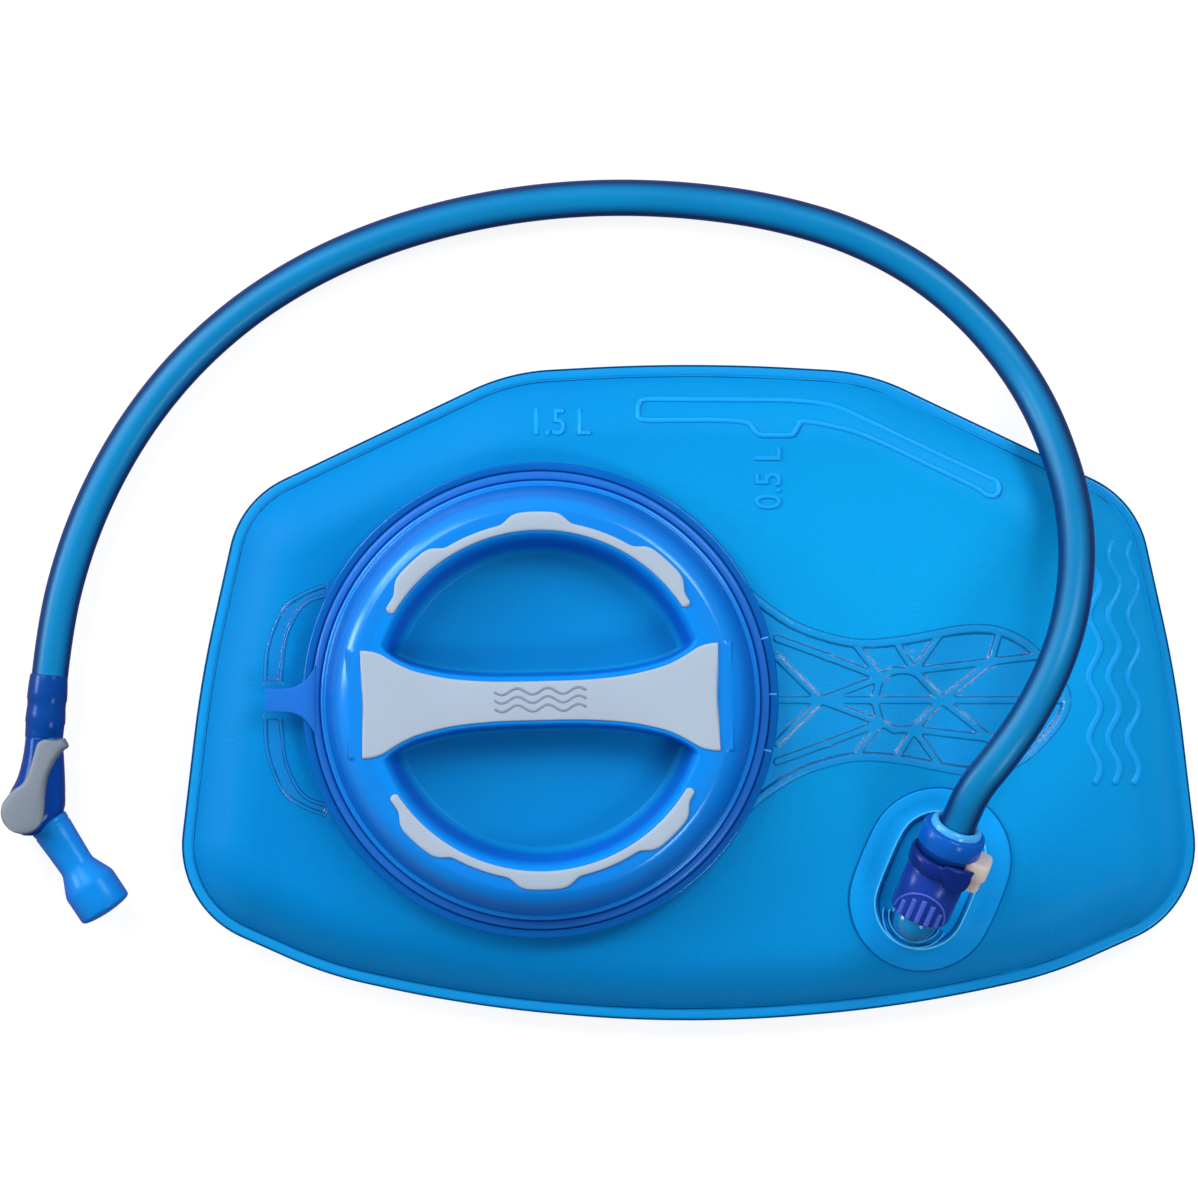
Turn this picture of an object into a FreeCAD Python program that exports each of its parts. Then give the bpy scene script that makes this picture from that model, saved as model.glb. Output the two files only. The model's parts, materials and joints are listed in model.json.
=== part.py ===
"""Hydration bladder for a lumbar pack: a welded film reservoir lying on its back, with a quarter-turn
fill cap, a grab handle, and a drink tube on a quick connector that ends in a shut-off valve and a
bite valve.  Millimetres, +Z up, origin at the middle of the reservoir's underside."""
import FreeCAD, Part
import math
import os

from FreeCAD import Placement, Rotation, Vector

# ---- driving dimensions: reservoir -------------------------------------------------------------
CUT = 5.0                     # how far a cutting shape runs past what it cuts
FILM = 0.6                    # film thickness
WELD = 3.4                    # width of the welded seam round the edge
SEAM_Z = 6.6                  # height of the seam's middle plane
TOP_Z = 18.0                  # flat top of the front film
# right half of the outline, bottom to top: x, y, corner radius
OUTLINE = [(0, -95.4, 390), (62, -90.2, 390), (104, -81, 120), (147.7, -61.5, 29), (140, 4, 340),
           (128.6, 55.4, 28), (51.5, 92.1, 60), (0, 94.9, 530)]
SMALLEST_CORNER = 8.0         # least corner radius of an inset outline
# crown of the films: inset from the edge, then each film's height above the seam's middle plane
FRONT_CROWN = [(WELD, 0), (7, 4.6), (11, 7.8), (16, 10.2), (22, TOP_Z - SEAM_Z)]
BACK_CROWN = [(WELD, 0), (7, -3.6), (11, -5.4), (16, -6.3), (22, -SEAM_Z)]

# ---- driving dimensions: fill opening ----------------------------------------------------------
CAP_X, CAP_Y = -42.4, -2.0    # axis of the fill opening
CAP_TILT = 1.3                # how far round the cap stands, degrees
FLANGE_R, FLANGE_T = 68.0, 1.6
FILM_HOLE_R = 58.0
NECK_R, NECK_WALL = 50.0, 3.0
NECK_LOW, NECK_HIGH = 14.0, 31.0
WALL_IN, WALL_OUT, WALL_TOP = 65.5, 68.0, 24.0
WALL_LAP = 0.6                # how deep the handle and the lug run into the collar's wall
LEAD = 40.0                   # rise of the thread in one turn
STARTS = 4
RIB_T, RIB_H = 2.4, 2.5       # thread rib: thickness and height off its wall
RIB_ROOT = 1.5                # how deep a rib of the neck starts inside its wall
RIB_START, RIB_SPAN, RIB_Z = 10.0, 45.0, 23.6
LUG_START, LUG_SPAN = 30.0, 12.0
LUG_DROP = 3.0                # thread lug of the cap below the collar's rib
LUG_ROOT, LUG_GAP = 1.0, 0.1  # how deep a lug starts inside its ring, and its gap to the neck
BAND_IN, BAND_OUT, BAND_TOP = 62.9, 65.2, 23.0
BRIDGE_T, BRIDGE_LAP = 1.0, 0.5   # the band's step over the collar's wall, and its overlap
TAB_END, TAB_HALF, TAB_GAP = 78.7, 3.4, 0.3
HANDLE_LOW, HANDLE_HIGH, RIM_HIGH = 19.4, 22.6, 23.8
HANDLE_RIM, HANDLE_RIB, HANDLE_WEB = 3.0, 1.7, 1.0
LUG_RIM, LUG_RIB = 1.9, 1.5
# the handle and the lug are measured from the fill opening's axis
HANDLE_EDGE = [(48.4, 45.1), (60.7, 31.5), (71.3, 23.7), (80.9, 19.7), (91.3, 17.6), (102.7, 18.4),
               (112.4, 20.2), (121.5, 21.7), (130, 21.4), (138, 18.2), (144.5, 12.6), (149.6, 6.4)]
HANDLE_TIP = 151.6
# one half of the lattice, as rows of points from the collar outwards
LATTICE = [[(67.5, 17.6), (82, 12.3), (97.1, 6.5)], [(67.5, 12.3), (80, 0)],
           [(95.3, 0), (97.1, 6.5)], [(97.1, 6.5), (101, 8.4), (106.7, 8.4)], [(106.7, 8.4), (114.6, 0)],
           [(97.1, 6.5), (88.8, 17.4)], [(106.7, 8.4), (101, 17.4)], [(106.7, 8.4), (114.6, 19.4)],
           [(106.7, 8.4), (128.6, 11)], [(114.6, 0), (128.6, 11)], [(128.6, 11), (131.2, 20)],
           [(128.6, 11), (142.6, 12.6)], [(80, 0), (97.1, 6.5)]]
SPINE = [(67.5, 0), (80, 0), (95.3, 0), (114.6, 0), (150, 0)]
LUG_OUTER = [(-79.2, 4.4), (-78.2, 14), (-75.9, 22), (-72.6, 27.4), (-66.6, 31), (-59, 33.6)]
LUG_INNER = [(-75.4, 5.2), (-74.6, 11), (-73.6, 17.2), (-71, 24), (-64.6, 30.2)]
LUG_END = [(-79.2, 4.4), (-69, 4.4)]

# ---- driving dimensions: cap -------------------------------------------------------------------
SKIRT_IN, SKIRT_OUT, SKIRT_LOW = 58.0, 62.5, 20.4
THREAD_IN, THREAD_LOW, THREAD_HIGH = 56.2, 21.0, 28.5
CREST_Z, CREST_IN, CREST_OUT = 38.0, 48.2, 55.5
FLOOR_Z, FLOOR_T, FLOOR_R = 24.5, 2.0, 42.0
PLUG_R, PLUG_TOP, PLUG_LAP = 49.2, 29.5, 0.5
SEAL_Z, SEAL_R, SEAL_MID = 26.2, 1.4, 48.5
BAR_HALF, BAR_EDGE = 56.0, 1.1 # half length of the bar, and the blue edge round its grip
BAR_ROOM = 2.0                # gap above the neck's mouth before the bar runs out to the crest
GRIP_PROUD, GRIP_SUNK, GRIP_SHORT = 0.6, 1.2, 5.1
# the bar's upper edge as (distance from the axis, half width), and how hollow its end is
BAR_SHAPE = [(46.5, 14.8), (42, 12.3), (34.5, 8.9), (25, 6.8), (13, 5.75), (0, 5.6)]
BAR_END, BAR_HOLLOW = 15.4, 0.9
# the crest grips: inner and outer radius, middle and half span in degrees, and their swellings
ARC_IN, ARC_OUT, ARC_MID, ARC_SPAN = 48.5, 51.1, 90.0, 58.8
SWELL, SWELL_WIDE, SWELL_AT = 2.8, 10.0, (46.5, 90, 132)

# ---- driving dimensions: exit port and quick connector -----------------------------------------
PORT_X, PORT_Y = 69.0, -53.4
PORT_W, PORT_L, PORT_T = 41.8, 53.5, 1.2
WELL_W, WELL_L, WELL_H, WELL_WALL = 26.6, 41.0, 2.2, 1.2
LINK_AT = Vector(64.0, -65.7, 28.0)      # a point of the connector's axis, near the elbow
LINK_PLAN = 22.8              # the axis turned from +Y towards +X, seen from above
LINK_RISE = 25.0              # the axis above the film
ELBOW_R, ELBOW_AT, ELBOW_FRONT = 6.2, 1.2, 3.9
SOCKET_R, SOCKET_END, SOCKET_BORE, SOCKET_BACK = 5.8, 15.0, 3.5, -2.3
SEAT_LOW, SEAT_HIGH, SEAT_BORE = 6.6, 8.2, 2.5
BOSS_R, SPOUT_R, SPOUT_HOLE, DRAIN_R = 5.0, 4.3, 4.4, 3.0
BOSS_LOW, SPOUT_LOW, SPOUT_LONG, DRAIN_LOW = 15.0, 13.5, 7.0, 10.0
POPPET_R, POPPET_STEM, POPPET_LOW, POPPET_MID, POPPET_HIGH = 3.2, 1.1, -1.2, 1.9, 3.1
POPPET_SEAL = (2.75, 0.38, 3.48)          # an O-ring: core radius, cord radius, height
COIL_R, COIL_WIRE, COIL_LOW, COIL_HIGH, COIL_TURNS = 2.3, 0.3, -2.25, 1.85, 3
LINK_R, LINK_BORE, LINK_LOW, LINK_LEN, LINK_DEEP, LINK_WAY = 8.9, 6.3, 4.4, 24.0, 16.6, 3.1
RIDGE_W, RIDGE_T, RIDGE_LOW, RIDGE_LONG = 1.0, 2.0, 5.2, 8.5
RIDGE_APART, RIDGE_SHORTER, RIDGE_SUNK = 2.7, 2.2, 1.35
PLATE_R, PLATE_LOW, PLATE_HIGH, PLATE_T, PLATE_UP = 9.6, 19.6, 24.0, 1.5, 7.6
PLATE_DISC, PLATE_SIDE = 4.4, -5.0
COLLAR_LOW, COLLAR_HIGH, COLLAR_R, LIP_R, LIP_HIGH = 27.5, 33.0, 9.2, 7.2, 34.6
BUTTON_LOW, BUTTON_HIGH, BUTTON_IN, BUTTON_OUT, BUTTON_HALF = 17.6, 27.2, 6.2, 13.2, 4.7
BUTTON_TRAVEL, BUTTON_GAP, BUTTON_ROUND = 2.0, 0.3, 3.2
BUTTON_COIL, BUTTON_WIRE, BUTTON_COIL_LONG, BUTTON_COIL_TURNS = 1.4, 0.3, 4.1, 4
BUTTON_COIL_AT, BUTTON_SOCKET, BUTTON_SOCKET_DEEP = 22.4, 1.9, 2.4
PROBE_TIP, PROBE_BORE, PROBE_LOW = 2.1, 1.4, 3.2
PROBE_GROOVE, PROBE_SEAL = (10.0, 11.8, 2.5), (2.94, 0.44, 10.9)
TUBE_STOP = 0.5               # how far inside the collar the tube ends

# ---- driving dimensions: tube, shut-off valve and bite valve -----------------------------------
TUBE_R, TUBE_BORE = 5.25, 3.2
BARB_GAP = 0.05               # between a barb and the tube's bore
BARB = 11.0                   # length of the shut-off valve's barb inside the tube
FIRST_RUN = 11.7              # the tube's first run, which keeps to the connector's axis
ARC_SHARE = 0.45              # each arc's reach as a share of the shorter of its two runs
ROUTE = [(87.6, -18.2, 50.2), (96.6, -5.6, 50.4), (104.6, 10.2, 47.0), (109.2, 26.6, 40.8),
         (110.6, 43.8, 32.4), (108.3, 61.6, 22.6), (100.1, 84.3, 11.0), (86.3, 104.1, 5.6),
         (68.4, 120.2, 5.3), (47.4, 131.4, 5.3), (25, 138, 5.3), (2.5, 141.3, 5.3),
         (-19.7, 142.4, 5.3), (-41.9, 141.2, 5.3), (-64.3, 137.6, 5.3), (-86.8, 131.3, 5.3),
         (-109.1, 121.7, 5.3), (-130.3, 108, 5.3), (-149.2, 89.9, 5.3), (-164.6, 67.9, 5.4),
         (-176.0, 42.8, 6.2), (-182.708, 15.211, 8.0), (-184.9, -12.6, 8.0)]
VALVE_Z = 8.0
VALVE_BEND = Vector(-186.5, -32.9, VALVE_Z)   # where the shut-off valve's passage turns
BITE_WAY = Vector(0.553, -0.833, 0)
BITE_START = 5.0
CHAMBER = Vector(-187.6, -32.6, 0.4)
CHAMBER_R, CONE_SMALL, CONE_BIG, CONE_SHORT = 8.3, 5.45, 7.2, 3.0
OUTLET_R, SPIGOT_R, SPIGOT_LONG = 5.6, 3.4, 10.0
INFLOW_R, OUTFLOW_R, OUTFLOW_BACK, OUTFLOW_LONG = 2.1, 2.0, 1.5, 14.0
HUB = Vector(-190.4, -34.0, 0)
HUB_R, SPOOL_R, SPOOL_LOW, SPOOL_GAP = 6.2, 4.3, 2.0, 0.05
GROOVES, GROOVE_WIDE, GROOVE_DEEP = (3.2, 12.4), 1.0, 0.8
SPOOL_RING, SPOOL_RING_AT = 0.4, 3.92
LEVER_TIP = Vector(-180.8, -15.6, 0)
LEVER_LOW, LEVER_HIGH = 16.4, 19.6
# the lever's arm as (distance from the hub, offset) and the flank that hangs down its side
ARM = [(2.6, -5.4), (7, -3.4), (13, -2.9), (18.5, -5.4), (21.6, -4.2), (22.6, 0), (20.8, 3.4),
       (14, 3.0), (8, 3.4), (3, 5.2)]
FLANK, FLANK_WIDE, FLANK_LOW, FLANK_HIGH = [(13.5, 1.9), (17, 2.3), (20.4, 2.3)], 1.8, 13.4, 19.2
BITE_GAP = 0.05               # between the valve's trimmed face and the bite valve
BITE = [(3.4, 0), (5.75, 0), (5.6, 5), (5.2, 14.6), (5.6, 15.8), (7.6, 20.2), (7.95, 21.6),
        (7.95, 29.6), (5.5, 30.6), (2.6, 31.1), (0, 31.2), (0, 29.6), (6.2, 28.2), (6.2, 21.8),
        (3.4, 15)]
SLIT_LONG, SLIT_WIDE, SLIT_LOW, SLIT_DEEP = 8.0, 0.3, 27.0, 6.0


def along_z(radius, low, high, hole=0.0):
    """A cylinder about Z from low to high, with a hole through it where one is given."""
    solid = Part.makeCylinder(radius, high - low, Vector(0, 0, low))
    if hole:
        solid = solid.cut(Part.makeCylinder(hole, high - low + 2 * CUT, Vector(0, 0, low - CUT)))
    return solid


def turned(points):
    """The ring that a closed outline of (radius, z) points makes round Z."""
    outline = Part.makePolygon([Vector(r, 0, z) for r, z in points + points[:1]])
    return Part.Face(outline).revolve(Vector(), Vector(0, 0, 1), 360)


def torus(mid, thick, z):
    """An O-ring: mid is the radius of its core circle and thick its cord's radius."""
    return Part.makeTorus(mid, thick, Vector(0, 0, z))


def rounded(corners, inset, z):
    """The wire of a polygon with rounded corners, moved inwards by inset, at height z."""
    count = len(corners)
    points = [Vector(x, y, 0) for x, y, radius in corners]
    ways = [(points[(i + 1) % count] - points[i]).normalize() for i in range(count)]
    arcs = []
    for i, (x, y, radius) in enumerate(corners):
        before, after = ways[i - 1], ways[i]
        inward_1 = Vector(-before.y, before.x, 0)
        inward_2 = Vector(-after.y, after.x, 0)
        corner = points[i] + (inward_1 + inward_2) * (inset / (1 + inward_1.dot(inward_2)))
        small = max(radius - inset, SMALLEST_CORNER)
        reach = small * math.tan(before.getAngle(after) / 2)
        start, end = corner - before * reach, corner + after * reach
        middle = start + inward_1 * small - (inward_1 + inward_2).normalize() * small
        arcs.append([point + Vector(0, 0, z) for point in (start, middle, end)])
    edges = []
    for i, (start, middle, end) in enumerate(arcs):
        edges.append(Part.Arc(start, middle, end).toShape())
        edges.append(Part.makeLine(end, arcs[(i + 1) % count][0]))
    return Part.Wire(edges)


def mirrored(right):
    """A closed outline from its right half, which runs from the bottom middle to the top middle."""
    return right + [(-x, y, radius) for x, y, radius in reversed(right[1:-1])]


def prism(points, low, high):
    """A plate between two heights whose outline is a smooth closed curve through points."""
    curve = Part.BSplineCurve()
    curve.interpolate([Vector(x, y, low) for x, y in points], PeriodicFlag=True)
    return Part.Face(Part.Wire(curve.toShape())).extrude(Vector(0, 0, high - low))


def stadium(width, length, low, high):
    """A plate with two straight sides along Y and two round ends."""
    radius, half = width / 2, (length - width) / 2
    middle = Part.makeBox(width, 2 * half, high - low, Vector(-radius, -half, low))
    ends = [Part.makeCylinder(radius, high - low, Vector(0, y, low)) for y in (-half, half)]
    return middle.multiFuse(ends).removeSplitter()


def strip(points, width, low, high):
    """A flat bar along a row of plan points, round at each point."""
    pieces = []
    for (x1, y1), (x2, y2) in zip(points, points[1:]):
        length, angle = math.hypot(x2 - x1, y2 - y1), math.degrees(math.atan2(y2 - y1, x2 - x1))
        bar = Part.makeBox(length, width, high - low, Vector(0, -width / 2, 0))
        bar.Placement = Placement(Vector(x1, y1, low), Rotation(Vector(0, 0, 1), angle))
        pieces.append(bar)
    pieces += [Part.makeCylinder(width / 2, high - low, Vector(x, y, low)) for x, y in points]
    return pieces


def helix_rib(r_in, r_out, start, span, z, thick):
    """A thread rib of rectangular section that climbs by LEAD in one turn."""
    sections = []
    steps = 6
    for i in range(steps + 1):
        turn = math.radians(start + span * i / steps)
        rise = z + LEAD * span / 360 * i / steps
        corners = [(r_in, rise - thick / 2), (r_out, rise - thick / 2), (r_out, rise + thick / 2),
                   (r_in, rise + thick / 2), (r_in, rise - thick / 2)]
        sections.append(Part.makePolygon(
            [Vector(r * math.cos(turn), r * math.sin(turn), h) for r, h in corners]))
    return Part.makeLoft(sections, True, True)


def coil(radius, wire, low, high, turns):
    """A compression spring about Z."""
    path = Part.makeHelix((high - low - 2 * wire) / turns, high - low - 2 * wire, radius)
    path.translate(Vector(0, 0, low + wire))
    profile = Part.Wire(Part.makeCircle(wire, Vector(radius, 0, low + wire), Vector(0, 1, 0)))
    return Part.Wire(path.Edges).makePipeShell([profile], True, True)


# ---- reservoir films ---------------------------------------------------------------------------
outline = mirrored(OUTLINE)


def crown(levels, lift, extra=0.0):
    """The solid between the seam plane and a film's surface, moved up by lift and in by extra."""
    wires = [rounded(outline, inset + extra, SEAM_Z + height + lift) for inset, height in levels]
    return Part.makeLoft(wires, True, True)


def seam_band(low, high):
    """The welded flange of one film, which reaches a little way into the film's curve."""
    outer = Part.Face(rounded(outline, 0, low)).extrude(Vector(0, 0, high - low))
    inner = Part.Face(rounded(outline, WELD + 1, low)).extrude(Vector(0, 0, high - low))
    return outer.cut(inner)


def film(levels, side):
    """One film: its crown and flange, less the space inside; side is +1 front, -1 back."""
    low = SEAM_Z if side > 0 else SEAM_Z - FILM
    whole = crown(levels, 0).fuse(seam_band(low, low + FILM))
    return whole.cut(crown(levels, -side * FILM, FILM / 2)).removeSplitter()


cap_axis = Placement(Vector(CAP_X, CAP_Y, 0), Rotation(Vector(0, 0, 1), CAP_TILT))
collar_axis = Placement(Vector(CAP_X, CAP_Y, 0), Rotation())
port_plan = Placement(Vector(PORT_X, PORT_Y, 0), Rotation(Vector(0, 0, 1), -LINK_PLAN))
plan, rise = math.radians(LINK_PLAN), math.radians(LINK_RISE)
link_way = Vector(math.sin(plan) * math.cos(rise), math.cos(plan) * math.cos(rise), math.sin(rise))
link_left = Vector(-math.cos(plan), math.sin(plan), 0)
# in the connector's own frame Z runs along it towards the tube, X to its left and Y upwards
link_axis = Placement(LINK_AT, Rotation(link_left, link_way.cross(link_left), link_way, "XYZ"))
down_from = LINK_AT + link_way * ELBOW_AT


def placed(shape, placement):
    """A copy of a shape moved from its own frame into the part's frame."""
    copy = shape.copy()
    copy.Placement = placement.multiply(copy.Placement)
    return copy


back_film = film(BACK_CROWN, -1)
front_film = film(FRONT_CROWN, 1)
front_film = front_film.cut(placed(along_z(FILM_HOLE_R, TOP_Z - CUT, TOP_Z + CUT), collar_axis))
spout_hole = Part.makeCylinder(SPOUT_HOLE, 2 * CUT, Vector(down_from.x, down_from.y, TOP_Z - CUT))
front_film = front_film.cut(spout_hole)


# ---- fill collar, with its handle and its lug --------------------------------------------------
def handle_and_lug():
    """The flat pieces outside the collar's wall: the handle's rim and lattice, and the lug."""
    upper = HANDLE_EDGE
    lower = [(x, -y) for x, y in upper]
    rim = upper + [(HANDLE_TIP, 0)] + lower[::-1]
    edge = Part.BSplineCurve()
    edge.interpolate([Vector(x, y, HANDLE_LOW) for x, y in rim])
    outer = Part.Wire([edge.toShape(), Part.makeLine(edge.EndPoint, edge.StartPoint)])
    plate = Part.Face(outer).extrude(Vector(0, 0, RIM_HIGH - HANDLE_LOW))
    inset = [(x - HANDLE_RIM / 3, y - HANDLE_RIM) for x, y in upper[1:-1]]
    hollow = inset + [(HANDLE_TIP - HANDLE_RIM, 0)] + [(x, -y) for x, y in inset[::-1]]
    inner = Part.BSplineCurve()
    inner.interpolate([Vector(x, y, HANDLE_LOW - CUT) for x, y in hollow])
    hole = Part.Wire([inner.toShape(), Part.makeLine(inner.EndPoint, inner.StartPoint)])
    web = Part.Face(outer).extrude(Vector(0, 0, HANDLE_WEB))
    pieces = [web, plate.cut(Part.Face(hole).extrude(Vector(0, 0, RIM_HIGH - HANDLE_LOW + 2 * CUT)))]
    pieces += strip(SPINE, HANDLE_RIB, HANDLE_LOW, HANDLE_HIGH)
    for side in (1, -1):
        for row in LATTICE:
            pieces += strip([(x, y * side) for x, y in row], HANDLE_RIB, HANDLE_LOW, HANDLE_HIGH)
        pieces += strip([(x, y * side) for x, y in LUG_OUTER], LUG_RIM, HANDLE_LOW, RIM_HIGH)
        pieces += strip([(x, y * side) for x, y in LUG_INNER], LUG_RIB, HANDLE_LOW, HANDLE_HIGH)
        pieces += strip([(x, y * side) for x, y in LUG_END], LUG_RIB, HANDLE_LOW, HANDLE_HIGH)
    clear = Part.makeCylinder(WALL_IN + WALL_LAP, RIM_HIGH + CUT)
    return [piece.cut(clear) for piece in pieces]


collar = along_z(FLANGE_R, TOP_Z, TOP_Z + FLANGE_T, NECK_R)
neck = along_z(NECK_R + NECK_WALL, NECK_LOW, NECK_HIGH, NECK_R)
wall = along_z(WALL_OUT, TOP_Z, WALL_TOP, WALL_IN)
ribs = [helix_rib(NECK_R + RIB_ROOT, NECK_R + NECK_WALL + RIB_H, RIB_START + 360 / STARTS * i, RIB_SPAN,
                  RIB_Z, RIB_T) for i in range(STARTS)]
fill_collar = collar.multiFuse([neck, wall] + ribs + handle_and_lug()).removeSplitter()
fill_collar = placed(fill_collar, collar_axis)

band_bridge_top = WALL_TOP + BRIDGE_T
band = along_z(BAND_OUT, TOP_Z + FLANGE_T, BAND_TOP, BAND_IN)
tab = Part.makeBox(TAB_END - WALL_OUT, 2 * TAB_HALF, BRIDGE_T, Vector(-TAB_END, -TAB_HALF, WALL_TOP))
foot = Part.makeBox(TAB_END - WALL_OUT - TAB_GAP, 2 * TAB_HALF, WALL_TOP - HANDLE_LOW,
                    Vector(-TAB_END, -TAB_HALF, HANDLE_LOW))
bridge = Part.makeBox(WALL_OUT - BAND_IN, 2 * TAB_HALF, BRIDGE_T,
                      Vector(-WALL_OUT - BRIDGE_LAP, -TAB_HALF, WALL_TOP))
riser = along_z(BAND_OUT, BAND_TOP - BRIDGE_LAP, band_bridge_top, BAND_IN)
collar_band = band.multiFuse([foot, tab, riser, bridge]).removeSplitter()
collar_band = placed(collar_band, collar_axis)


# ---- cap ---------------------------------------------------------------------------------------
def bar_plate(half, spread, low, high):
    """The bar's bow-tie outline, widened by spread, between two heights."""
    upper = [(x, wide + spread) for x, wide in [(half, BAR_END)] + BAR_SHAPE]
    across = upper + [(-x, y) for x, y in upper[-2::-1]]
    top, bottom = Part.BSplineCurve(), Part.BSplineCurve()
    top.interpolate([Vector(x, y, low) for x, y in across])
    bottom.interpolate([Vector(-x, -y, low) for x, y in across])
    corner = upper[0][1]
    ends = [Part.Arc(Vector(s * half, s * corner, low), Vector(s * (half - BAR_HOLLOW), 0, low),
                     Vector(s * half, -s * corner, low)).toShape() for s in (-1, 1)]
    wire = Part.Wire(Part.__sortEdges__([top.toShape(), bottom.toShape()] + ends))
    return Part.Face(wire).extrude(Vector(0, 0, high - low))


def grip_arc(side, low, high):
    """A soft grip strip let into the crest, with three thumb swellings on its outer edge."""
    count = 40
    outer, inner = [], []
    for i in range(count + 1):
        degrees = ARC_MID - ARC_SPAN + 2 * ARC_SPAN * i / count
        swell = SWELL * sum(math.exp(-((degrees - at) / SWELL_WIDE) ** 4) for at in SWELL_AT)
        angle, far = math.radians(degrees), ARC_OUT + swell
        outer.append(Vector(far * math.cos(angle), side * far * math.sin(angle), low))
        inner.append(Vector(ARC_IN * math.cos(angle), side * ARC_IN * math.sin(angle), low))
    one, two = Part.BSplineCurve(), Part.BSplineCurve()
    one.interpolate(outer)
    two.interpolate(inner)
    caps = [Part.makeLine(outer[0], inner[0]), Part.makeLine(outer[-1], inner[-1])]
    wire = Part.Wire(Part.__sortEdges__([one.toShape(), two.toShape()] + caps))
    return Part.Face(wire).extrude(Vector(0, 0, high - low))


def dome():
    """The cap's outer skin and its finger well, turned about the axis."""
    def v(radius, height):
        return Vector(radius, 0, height)

    edges = [
        Part.makeLine(v(0, FLOOR_Z - FLOOR_T), v(FLOOR_R + 1, FLOOR_Z - FLOOR_T)),
        Part.makeLine(v(FLOOR_R + 1, FLOOR_Z - FLOOR_T), v(FLOOR_R + 8.2, CREST_Z - 3)),
        Part.makeLine(v(FLOOR_R + 8.2, CREST_Z - 3), v(SKIRT_IN - 3, CREST_Z - 4.4)),
        Part.Arc(v(SKIRT_IN - 3, CREST_Z - 4.4), v(SKIRT_IN - 0.5, CREST_Z - 6.5),
                 v(SKIRT_IN, CREST_Z - 9)).toShape(),
        Part.makeLine(v(SKIRT_IN, CREST_Z - 9), v(SKIRT_IN, SKIRT_LOW)),
        Part.makeLine(v(SKIRT_IN, SKIRT_LOW), v(SKIRT_OUT - 0.6, SKIRT_LOW)),
        Part.Arc(v(SKIRT_OUT - 0.6, SKIRT_LOW), v(SKIRT_OUT, SKIRT_LOW + 1.6),
                 v(SKIRT_OUT - 0.4, SKIRT_LOW + 3.4)).toShape(),
        Part.Arc(v(SKIRT_OUT - 0.4, SKIRT_LOW + 3.4), v(SKIRT_OUT - 1.6, CREST_Z - 5.5),
                 v(CREST_OUT, CREST_Z)).toShape(),
        Part.makeLine(v(CREST_OUT, CREST_Z), v(CREST_IN, CREST_Z)),
        Part.Arc(v(CREST_IN, CREST_Z), v(CREST_IN - 1.6, CREST_Z - 2.2),
                 v(CREST_IN - 2.6, CREST_Z - 5)).toShape(),
        Part.makeLine(v(CREST_IN - 2.6, CREST_Z - 5), v(FLOOR_R, FLOOR_Z + 2.2)),
        Part.Arc(v(FLOOR_R, FLOOR_Z + 2.2), v(FLOOR_R - 1, FLOOR_Z + 0.6),
                 v(FLOOR_R - 3, FLOOR_Z)).toShape(),
        Part.makeLine(v(FLOOR_R - 3, FLOOR_Z), v(0, FLOOR_Z)),
        Part.makeLine(v(0, FLOOR_Z), v(0, FLOOR_Z - FLOOR_T))]
    return Part.Face(Part.Wire(edges)).revolve(Vector(), Vector(0, 0, 1), 360)


seal_groove = (SEAL_Z - SEAL_R, SEAL_Z + SEAL_R)
plug = along_z(PLUG_R, FLOOR_Z - FLOOR_T, PLUG_TOP, FLOOR_R - PLUG_LAP)
groove = along_z(PLUG_R + SEAL_R, seal_groove[0], seal_groove[1], SEAL_MID - SEAL_R)
# below the neck's mouth the bar stays inside the plug; above it, it spans the whole crest
bar_room = along_z(PLUG_R - PLUG_LAP, FLOOR_Z - FLOOR_T / 2, NECK_HIGH + BAR_ROOM).fuse(
    along_z(CREST_OUT + PLUG_LAP, NECK_HIGH + BAR_ROOM, CREST_Z))
bar = bar_plate(BAR_HALF, BAR_EDGE, FLOOR_Z - FLOOR_T / 2, CREST_Z).common(bar_room)
lug_z = RIB_Z - LUG_DROP + LEAD * (LUG_START - RIB_START) / 360
lugs = [helix_rib(THREAD_IN - RIB_H + LUG_GAP, THREAD_IN + LUG_ROOT, LUG_START + 360 / STARTS * i,
                  LUG_SPAN, lug_z, RIB_T) for i in range(STARTS)]
cap_thread_ring = along_z(SKIRT_IN, THREAD_LOW, THREAD_HIGH, THREAD_IN).multiFuse(lugs)
cap_grip_bar = bar_plate(BAR_HALF - GRIP_SHORT, 0, CREST_Z - GRIP_SUNK, CREST_Z + GRIP_PROUD)
arcs = {"upper": grip_arc(1, CREST_Z - GRIP_SUNK, CREST_Z + GRIP_PROUD),
        "lower": grip_arc(-1, CREST_Z - GRIP_SUNK, CREST_Z + GRIP_PROUD)}
cap_shell = dome().multiFuse([plug, bar]).cut(groove)
cap_shell = cap_shell.cut(cap_grip_bar.multiFuse(list(arcs.values()))).removeSplitter()
cap_seal = torus(SEAL_MID, SEAL_R, SEAL_Z)


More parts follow.
